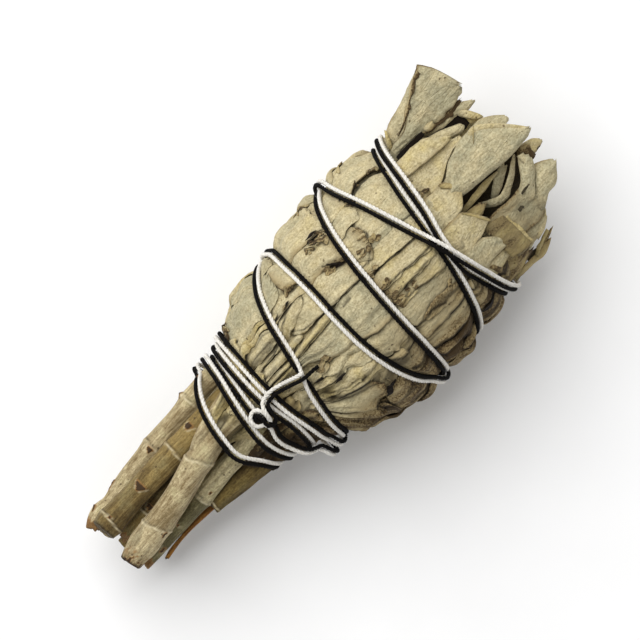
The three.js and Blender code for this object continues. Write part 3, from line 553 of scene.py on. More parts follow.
# Stems and stalks as points (x, y, z, radius). A ring, which is a joint, is (x, slant), a scar is (x, angle,
# length, height, lift) and a tone is (x, tone).
stemTable = {
    "sprig_1_stem": dict(points=[(-50.9, 5.9, 13.5, 1.15), (-49.4, 6.3, 13.6, 1.6),
        (-47.6, 6.65, 13.8, 1.8), (-45.5, 6.6, 14, 1.55), (-42, 7.2, 14.2, 1.65), (-34, 8.1, 15.2, 1.75),
        (-26, 8.6, 16.0, 1.8), (-19, 9.1, 16.6, 1.85), (-12, 8.9, 17.0, 1.6), (-4, 7.6, 17.2, 1.35),
        (4, 6.8, 17.4, 1.2)], rings=[(-33.2, 0.1), (-23, 0)], scars=[(-33.9, 88, 1.2, 1.3, 0.2),
        (-23.4, 12, 1.3, 1.2, 0.35), (-42.8, 14, 2.2, 0.5, 0.2), (-47.9, 30, 1.0, 0.6, 0.3),
        (-19.5, 20, 1.6, 0.5, 0.3)], cut=0.3, rough=0.55, torn=1.7, tone=[(-50, 0.6), (-30, 0.55),
        (-20, 0.6)], groove=0.13),
    "sprig_2_stem": dict(points=[(-49.9, 4.35, 17.4, 2.2), (-48, 4.45, 17.4, 2.42), (-42, 4.55, 17.4, 2.3),
        (-34, 4.6, 17.7, 2.35), (-27, 4.7, 18.1, 2.2), (-20, 4.9, 18.5, 2.0), (-12, 4.7, 19.4, 1.8),
        (-4, 4.2, 20.2, 1.6), (5, 3.8, 21.0, 1.3)], rings=[(-47.7, 0.3), (-31.2, 0.1)],
        scars=[(-39.8, 78, 1.5, 2.3, 0.3), (-26.4, 50, 1.6, 1.5, 0.4), (-47.3, 70, 0.8, 0.5, 0.1)], cut=0.6,
        rough=0.12, edge=0.7, tone=[(-50, 0.3), (-41, 0.35), (-38, 0.55), (-32, 0.6), (-30.6, 0.75),
        (-20, 0.9)], groove=0.08),
    "sprig_3_stem": dict(points=[(-50.4, -2.85, 17.6, 2.0), (-48.6, -2.5, 17.8, 2.35),
        (-46.4, -2.25, 18, 2.7), (-43, -1.85, 18.5, 2.5), (-36, -0.85, 19.8, 2.36), (-30, 0.6, 21.2, 2.35),
        (-24, 1.3, 21.9, 1.9), (-17, 1.0, 22.8, 1.7), (-9, 0.6, 23.4, 1.5), (2, 0.2, 23.6, 1.2)],
        rings=[(-42.6, -0.65), (-29.3, -0.7)], scars=[(-42.8, 140, 1.5, 0.9, 0.3),
        (-40.2, 175, 0.6, 0.4, 0.1)], rough=0.15, edge=0.9, specks=1.3, tone=[(-50, 0.35), (-47, 0.6),
        (-44, 0.7), (-42.6, 0.7), (-42, 0.4), (-30, 0.5), (-28, 0.4)], groove=0.09),
    # sprig 4 is darker left of its joint, where it lies in shade: painted shade, with its greenish bark
    "sprig_4_stem": dict(points=[(-49.3, -4.5, 13.2, 1.45), (-46, -4.3, 13.5, 1.7), (-42, -4.2, 13.8, 1.7),
        (-34, -3.9, 15.4, 1.85), (-26, -3.4, 17.6, 1.8), (-19, -3.7, 19.2, 1.7), (-12, -4.4, 20.2, 1.6),
        (-4, -5.2, 20.8, 1.4), (4, -5.8, 21.0, 1.2)], rings=[(-33.7, 0.05)],
        scars=[(-45.2, 135, 1.3, 0.8, 0.25), (-39.9, 100, 0.5, 0.4, 0.1), (-31.8, 110, 0.5, 0.35, 0.1)],
        cut=0.3, rough=0.4, torn=1.6, tone=[(-50, 0.1), (-34, 0.05), (-33.5, 0.7), (-20, 0.7)]),
    "sprig_5_stem": dict(points=[(-48.8, 0.7, 13.7, 1.0), (-46, 0.9, 13.9, 1.3), (-38, 1.3, 14.5, 1.25),
        (-28, 0.9, 16.0, 1.2), (-17, 0.5, 17, 1.1), (-6, 0.2, 17.3, 1.0)], rings=[(-42.4, 0)],
        scars=[(-41.3, 80, 1.2, 0.9, 0.2)], cut=1.2, rough=0.4, torn=0.6, tone=[(-50, 0.75), (-43, 0.7),
        (-41, 0.3), (-30, 0.25)], groove=0.12),
    "sprig_6_stem": dict(points=[(-49.4, 4.6, 9.7, 2.2), (-38, 5.0, 10.4, 2.2), (-27, 5.4, 11.6, 2.1),
        (-18, 5.4, 12.4, 1.9), (-8, 5.4, 12.8, 1.6), (4, 5.4, 13.0, 1.2)], rings=[(-36.5, 0.2)],
        scars=[(-36.8, 270, 1.4, 1.6, 0.3), (-26, 240, 1.2, 1.2, 0.3)], cut=-0.8, rough=0.15,
        tone=[(-50, 0.5), (-30, 0.6)]),
    "sprig_7_stem": dict(points=[(-49.8, -1.0, 9.2, 2.3), (-38, -1.3, 9.9, 2.3), (-27, -1.8, 11.1, 2.2),
        (-18, -2.4, 12.0, 2.0), (-8, -3.0, 12.6, 1.7), (4, -3.4, 12.8, 1.3)], rings=[(-40.5, 0.3),
        (-28.5, -0.2)], scars=[(-40.8, 250, 1.5, 1.7, 0.3), (-28.8, 290, 1.4, 1.4, 0.3)], cut=0.6,
        tone=[(-50, 0.5), (-30, 0.5)]),
}
sideShoot = [
    (-31.5, 0.6, 21.2, 1.2), (-26, 3.2, 22.1, 1.25), (-20, 4.7, 22.7, 1.15), (-13, 6.2, 23.1, 1.0),
    (-7, 7.4, 23.6, 0.8),
]
dryStalk = [
    (-33.9, -6.55, 14.0, 1.2), (-30, -6.85, 14.6, 1.65), (-25, -7.1, 15.4, 2.1), (-20, -7.4, 16.0, 2.3),
    (-14, -8.2, 16.4, 1.6),
]
barkSplinter = [
    (-45.8, -7.0, 12.6, 0.3), (-44, -6.65, 12.7, 0.42), (-40, -6.3, 12.7, 0.45), (-33, -6.6, 12.4, 0.6),
    (-26, -7.0, 12.4, 0.6), (-19, -7.2, 12.6, 0.5),
]


def coreLift(x):  # how far the dark inside lies from the skin
    neck = 5.2 * (1 - smoothstep(x, -26, -12))
    tip = 9.0 * smoothstep(x, 30, 38)
    return -stack["depth"] - neck - tip


def liftOf(points):  # lift over the skin and angle of points in space
    yMid, zMid, a, b = oval(points[:, 0])
    dy, dz = (points[:, 1] - yMid), (points[:, 2] - zMid)
    share = np.sqrt((dy / a) ** 2 + (dz / b) ** 2)
    return (share - 1) * (a + b) / 2, np.degrees(np.arctan2(dz / b, dy / a)) % 360


def raiseTo(field, x, degrees, height):  # lifts the cells of a field to the points that lie in them
    row = np.clip(np.rint((x - stack["from"]) / stack["cell"]).astype(int), 0, stackRows - 1)
    column = np.rint(degrees / 360 * stack["columns"]).astype(int) % stack["columns"]
    np.maximum.at(field, (row, column), height)


def startHeights():  # the dark inside, and the stems at the neck
    heights = np.repeat((coreLift(stackX) + stack["depth"])[:, None], stack["columns"], axis=1)
    for points in [stem["points"] for stem in stemTable.values()] + [sideShoot, dryStalk]:
        line = np.arange(max(points[0][0], stack["from"]), min(points[-1][0], -6), 0.2)
        y, z, radius = (between(points, line, column) for column in (1, 2, 3))
        for turn in np.radians(np.arange(0, 360, 6)):
            surface = np.stack([line, y + radius * math.cos(turn), z + radius * math.sin(turn)], axis=-1)
            lift, degrees = liftOf(surface)
            raiseTo(heights, line, degrees, lift + stack["depth"])
    return heights


def shifted(field, rows, columns):
    moved = np.roll(field, columns, axis=1)
    if rows > 0:
        moved = np.vstack([np.repeat(moved[:1], rows, axis=0), moved[:-rows]])
    elif rows < 0:
        moved = np.vstack([moved[-rows:], np.repeat(moved[-1:], -rows, axis=0)])
    return moved


def widened(field):  # each cell as high as its highest neighbour
    field = np.maximum(field, np.maximum(shifted(field, 1, 0), shifted(field, -1, 0)))
    return np.maximum(field, np.maximum(shifted(field, 0, 1), shifted(field, 0, -1)))


def blurred(field, size):  # size in cells
    reach = int(math.ceil(size * 2.2))
    weights = np.exp(-0.5 * (np.arange(-reach, reach + 1) / size) ** 2)
    weights /= weights.sum()
    for axis in (0, 1):
        total = np.zeros_like(field)
        for offset, weight in zip(range(-reach, reach + 1), weights):
            total += weight * (shifted(field, offset, 0) if axis == 0 else shifted(field, 0, offset))
        field = total
    return field


def fieldAt(field, x, degrees):
    row = np.clip((x - stack["from"]) / stack["cell"], 0, stackRows - 1.001)
    column = (degrees % 360) / 360 * stack["columns"]
    i, j = np.floor(row).astype(int), np.floor(column).astype(int)
    s, t = row - i, column - j
    j0, j1 = j % stack["columns"], (j + 1) % stack["columns"]
    low = field[i, j0] * (1 - s) + field[i + 1, j0] * s
    high = field[i, j1] * (1 - s) + field[i + 1, j1] * s
    return low * (1 - t) + high * t


def doubled(grid):  # a point between each two of a grid
    for _ in range(2):
        rows = np.empty((2 * grid.shape[0] - 1,) + grid.shape[1:])
        rows[::2] = grid
        rows[1::2] = (grid[:-1] + grid[1:]) / 2
        grid = rows.swapaxes(0, 1)
    return grid


# Cracks between leaves, as points (x, y) seen from above. Elsewhere a margin is open only here and there.
crackLines = [
    [(-10, 3.9), (-7, 4.2), (-5.2, 4.8)], [(-10.2, 6), (-8, 5.3), (-5.2, 4.8)],
    [(-3.4, 5.9), (-1.6, 6.8), (0.6, 7.6)], [(-2.8, 8), (0, 7.4), (1, 8)],
    [(-2.1, 4.5), (-0.4, 3.2), (4, 2.8), (8, 2.4), (13, 2.1)], [(1.5, 10.6), (2.8, 9.8), (4.6, 9.6)],
    [(9.4, 8.4), (10.6, 7.4), (13.4, 6)], [(11, 13.1), (14, 12.9)], [(9.5, 12.6), (10.6, 11.4), (13, 10.8)],
    [(20, 12.8), (21.5, 13.5), (27, 13.4), (29, 12.9)], [(13.4, 3.6), (15.4, 3), (17.5, 4.6), (18.8, 6.6)],
    [(-12, 0.5), (-4, 0.6), (4, 1.3)], [(-12, 2), (-4, 2.3)], [(5, -5.3), (8, -6.3), (13, -6.5)],
    [(13.6, 1.2), (17, 0.9), (24, 0.1)], [(13.6, -2), (17, -2), (25, -2.8)],
    [(15.6, -4.2), (19, -4.2), (22.4, -4)], [(13.8, -5.8), (17, -5.9), (19.6, -6.4), (25, -7.3)],
    [(13, -10.9), (14.9, -10.6), (16.8, -10.2), (19.6, -11)], [(12.6, -13.5), (16, -13.2), (26, -13.3)],
    [(12, -15.6), (15, -15.8), (23, -16.1)], [(22.6, -17.2), (26, -16.7), (28.6, -16.4)],
    [(12, -17.2), (21, -17.6)], [(-7.4, -7.4), (-6, -8.7), (-4, -9.8), (-1.8, -10.6), (1, -11.1)],
    [(-6.7, -6.8), (-6, -7.5), (-4.3, -8.2)], [(-6.2, -5.8), (-3.7, -6.9), (-1, -7)],
    [(-5.6, -4.5), (-4.2, -4.9)], [(0.2, -9.65), (2, -9.65), (7, -10.3)], [(-1.4, -14.9), (0.6, -14.9)],
    [(3, -13.8), (6, -14.2)], [(7, 1.2), (9, 1.3)], [(23, 4), (26, 3.6), (28.6, 3.4)],
    [(28.4, -8), (33, -7.9)], [(28, -12.2), (34, -12.1)], [(5.6, -11.4), (7.6, -12.1), (11.4, -12.3)],
    [(7.6, -15.2), (9.4, -15.5), (11.6, -15.5)], [(26.5, -7.8), (28.4, -8)],
]


def crackAway(x, y):  # how far a place seen from above is from the nearest of the dark lines
    nearest = np.full(np.shape(x), 9.0)
    for crack in crackLines:
        line = np.array(crack)
        away = np.abs(y - np.interp(x, line[:, 0], line[:, 1]))
        away = away + np.maximum(line[0, 0] - x, 0) + np.maximum(x - line[-1, 0], 0)
        nearest = np.minimum(nearest, away)
    return nearest


def seamOpen(x, degrees):  # how far a margin gapes at a place, from 0, pressed flat, to 1
    y = skinPoint(x, degrees, 0.9)[..., 1]
    height = np.sin(np.radians(degrees))
    noise = patchNoise(x / 2.6, degrees / 9.0, 61) + 0.5 * patchNoise(x / 0.9, degrees / 4.0, 62)
    bias = 0.05 + 0.75 * smoothstep(-y, 4, 13) * (height > -0.2)
    bias = bias + 0.35 * (1 - smoothstep(x, -13, -8)) + 0.4 * (height < -0.2)
    return np.maximum(clamp(bias + 0.9 * noise), clamp(1.9 - crackAway(x, y) / 0.45) * (height > 0))


def cracked(x, degrees):  # how deep the cracks cut into the leaves that lie across them
    y = skinPoint(x, degrees, 0.9)[..., 1] + 0.1 * patchNoise(x / 1.1, 3.0, 63)
    depth = clamp(1.4 - crackAway(x, y) / (0.2 + 0.12 * smoothstep(-y, 7, 11)))
    return depth * clamp(0.9 + 0.7 * patchNoise(x / 2.5, y / 2, 64)) * (np.sin(np.radians(degrees)) > 0)


def fromShade(degrees):  # how many degrees a place is away from the shaded side
    return np.abs((degrees - 178 + 180) % 360 - 180)


def weatheredAndShaded(x, degrees):  # how brown the leaves are painted, partly real staining and partly painted shade: most on the side away from the light and at the neck
    turned = -fromShade(degrees)
    side = 0.52 * smoothstep(turned, -54 - 34 * smoothstep(x, 0, 8), -20)
    reach = 40 + 54 * smoothstep(x, -19.5, -16)
    return side + 0.26 * smoothstep(-x, 8.5, 12) * smoothstep(turned, -reach, 28 - reach)


def furrowed(x, degrees):  # where the leaves are folded finely: towards the neck and on the low side
    turned = -fromShade(degrees)
    neck = smoothstep(-x, -3, 7) * smoothstep(turned, -130, -112)
    return np.minimum(1, 0.9 * neck + 0.8 * smoothstep(turned, -76, -48))


# What all kinds of leaves share. V is the place across, from -1 to 1, and arc is V in millimetres.

def acrossLeaf(count, crowd=0.55):  # places across a leaf, closer together at its margins
    v = np.linspace(-1, 1, count)
    return crowd * np.sin(v * math.pi / 2) + (1 - crowd) * v


def rounded(fromStart, fromEnd, ends, least):  # how a leaf narrows to its two ends
    taper = 1
    for t in (clamp(fromStart / ends[0]), clamp(fromEnd / ends[1])):
        taper = taper * np.sqrt(np.maximum(1 - (1 - t) ** 2, least))
    return taper


def atEnds(pair, fromStart, fromEnd, reach, power=1):  # a value for each end, fading along the leaf
    return pair[0] * clamp(1 - fromStart / reach) ** power + pair[1] * clamp(1 - fromEnd / reach) ** power


def atMargins(pair, V, widest, reach, power=1):  # a value for each margin, fading into the leaf
    return np.where(V < 0, pair[0], pair[1]) * clamp(1 - (1 - np.abs(V)) * widest / reach) ** power


def rimOf(V, power, thin, fromEnds, start, reach):  # how thick a leaf is, less towards its rim
    return (np.sqrt(np.maximum(1 - np.abs(V) ** power, 0)) * (1 - thin) + thin) * np.minimum(
        1, start + fromEnds / reach)


def sideVeins(x, arc, slope, pitch):
    return np.maximum(0, np.cos(2 * math.pi * (x - slope * np.abs(arc)) / pitch)) ** 14


# An even brown over a leaf with some noise, partly real staining and partly painted shade.
def soiled(x, arc, soil, seed):
    return soil * (0.7 + 0.6 * patchNoise(x / 2.3, arc / 1.2, seed))


heights = startHeights()
laidLeaves = []


def layLeaf(points, seed, angles=False, tone=0.4, crown=0.3, rag=0.16, tear=0.35, ends=(0.8, 0.8),
            brown=(0, 0), sides=(0, 0), raised=(0, 0), curl=(0.1, 0.04), cell=0.3, rib=0.0, wrinkle=0.17,
            pleat=0.1, thickness=stack["thickness"], veins=0.35, dark=0.0, soil=0.0, ground=None):
    # Lays one leaf on the stack. Its points are (x, lower y, higher y) as seen from above, or angles instead
    # of y. The ends are rounding lengths, brown and raised belong to the two ends, sides and curl to the two
    # margins, and rag and tear are how uneven margins and ends are.
    # The dark value paints the leaf in shade, and the soil value browns it, partly as real staining and
    # partly as painted shade.
    length = points[-1][0] - points[0][0]
    u = np.linspace(0, 1, max(6, int(round(length / cell)) + 1))[:, None]
    line = points[0][0] + length * u
    first, second = between(points, line, 1), between(points, line, 2)
    if not angles:
        first, second = angleOf(line, first), angleOf(line, second)
    centre, half = (first + second) / 2, (first - second) / 2  # half is positive, the angle falls towards +Y
    _, _, a, b = oval(line)
    radius = (a + b) / 2
    widest = float(np.max(np.radians(half) * radius))
    V = acrossLeaf(max(6, int(round(2 * widest / cell)) + 1))[None] + 0 * u
    fromStart, fromEnd = u * length, (1 - u) * length
    nearEnd = np.minimum(fromStart, fromEnd)
    taper = rounded(fromStart, fromEnd, ends, 0.02)
    arc, side = V * widest, np.where(V < 0, -1, 1)
    ragged = patchNoise(line / 1.7, 7.3 * side, seed) + 0.5 * patchNoise(line / 0.55, 3.1 * side, seed + 1)
    degrees = centre - V * (half * taper + np.degrees(rag * ragged / radius) * np.minimum(1, taper * 1.5))
    frayed = patchNoise(arc / 0.9, 11.0, seed + 2) + 0.5 * patchNoise(arc / 0.35, 5.0, seed + 3)
    x = line + frayed * atEnds((-tear, tear), fromStart, fromEnd, 2.2, 2)
    base = fieldAt(blurred(widened(heights), 1.6) if ground is None else ground, x, degrees) + stack["gap"]
    gape = seamOpen(x, degrees)
    closed = (1 - gape) * clamp(1 - np.minimum((1 - np.abs(V)) * widest, nearEnd)) ** 1.3
    base = base + closed * (fieldAt(blurred(heights, 0.7), x, degrees) - 0.05 - base)
    swell = 0.28 * crown * (1 - np.abs(V) ** 2.4) * np.minimum(1, 0.35 + taper * 0.65)
    folds = patchNoise(x / 9.0, arc / 2.6, seed + 4) + 0.6 * patchNoise(x / 7.0, arc / 0.9, seed + 5)
    folds = wrinkle * folds + 0.3 * wrinkle * patchNoise(x / 2.6 + arc / 2, arc / 0.55, seed + 8)
    creased = 1 - np.abs(patchNoise(x / 10, arc / 0.85, seed + 7)) * 2.2
    folds = (folds + pleat * np.clip(creased, -1, 1)) * (1 - np.abs(V) ** 6)
    furrow = clamp(1.15 - np.abs(patchNoise(x / 12, arc / 1.1, seed + 11)) / 0.22) * (1 - V ** 4)
    furrow = furrow * furrowed(x, degrees) * smoothstep(patchNoise(x / 6, arc / 2.5, seed + 12), -0.35, 0.1)
    furrow = np.maximum(furrow, cracked(x, degrees))
    folds = folds - 0.16 * furrow
    ribShape = np.exp(-(arc / 0.32) ** 2)
    bottom = base + atEnds(raised, fromStart, fromEnd, 3.5, 2)
    bottom = bottom + atMargins(curl, V, widest, 1.6, 2) * (0.2 + 0.8 * gape)
    rim = rimOf(V, 8, 0.25, nearEnd, 0.3, 0.9)
    top = bottom + thickness * rim * (1 - 0.8 * closed) + swell + folds * (1 - closed) + rib * ribShape
    top = np.maximum(top, bottom + 0.12 - 0.06 * closed)
    raiseTo(heights, *(doubled(grid) for grid in (x, degrees, top)))
    # Brown mask: real stains at the ends and margins, plus soil and weathering, which are partly painted
    # shade.
    stainAndShade = atEnds(brown, fromStart, fromEnd, 2.4) + atMargins(sides, V, widest, 1.0)
    stainAndShade = stainAndShade + soiled(x, arc, soil, seed + 9)
    stainAndShade = stainAndShade + weatheredAndShaded(x, degrees) * (1 + 0.5 * patchNoise(x / 3, arc / 1.5, seed + 10))
    # The dark value is painted shade: the given one, or that of the furrows and cracks where it is more.
    laidLeaves.append(dict(
        x=x, degrees=degrees, bottom=bottom, top=top, dark=np.maximum(dark, 0.95 * furrow),
        angle=float(np.mean(centre)) % 360, masks={
            "tone": tone + 0.2 * patchNoise(x / 5, arc / 2.2, seed + 6), "brown": stainAndShade,
            "vein": np.maximum(ribShape * min(1, rib * 9), veins * sideVeins(x, arc, 0.9, 1.9))},
    ))


# Rows of leaves all round: x, number, length, width, first angle, and how wide the stalk end is at width 1
deepRows = [
    (-17, 9, 22, 9.5, 5, 0.3), (-6, 10, 22, 11.5, 25, 0.3), (6, 10, 22, 12, 8, 0.3),
    (15, 10, 19, 11.5, 27, 0.3), (-11, 10, 21, 9.5, 16, 0.3), (1, 11, 21, 10, 2, 0.3),
    (12, 11, 20, 10.5, 19, 0.3),
]


def layRows(rows, seed, onlyBelow=False, **looks):  # a leaf that is left out draws no seed
    draw = randomRow(seed)
    for xMiddle, count, longest, broadest, offset, stalk in rows:
        step = 360 / count
        for i in range(count):
            start = xMiddle + 4 * (draw() - 0.5)
            length = longest * (0.85 + 0.3 * draw())
            angle = offset + i * step + 0.4 * step * (draw() - 0.5)
            lean = 9 * (draw() - 0.5)
            width = broadest * (0.75 + 0.5 * draw())
            tone = 0.25 + 0.4 * draw()
            if onlyBelow and not 182 < angle % 360 < 358:
                continue
            points = []
            for share, part in ((0, stalk), (0.25, 0.72), (0.55, 1.0), (0.8, 0.86), (1, 0.5)):
                x = start + length * share
                _, _, a, b = oval(x)
                half = math.degrees(width * part / (a + b))
                middle = angle + lean * (share - 0.5)
                points.append((x, middle + half, middle - half))
            own = seed * 100 + int(draw() * 9000)
            layLeaf(points, own, angles=True, tone=tone, ends=(1.5, 3.5), **looks)


layRows(deepRows, 11, cell=0.8, crown=0.25)
print("stage 4: deep leaves", len(laidLeaves))


def leaf(*points, **looks):  # one row in a list of leaves
    return dict(points=points, **looks)
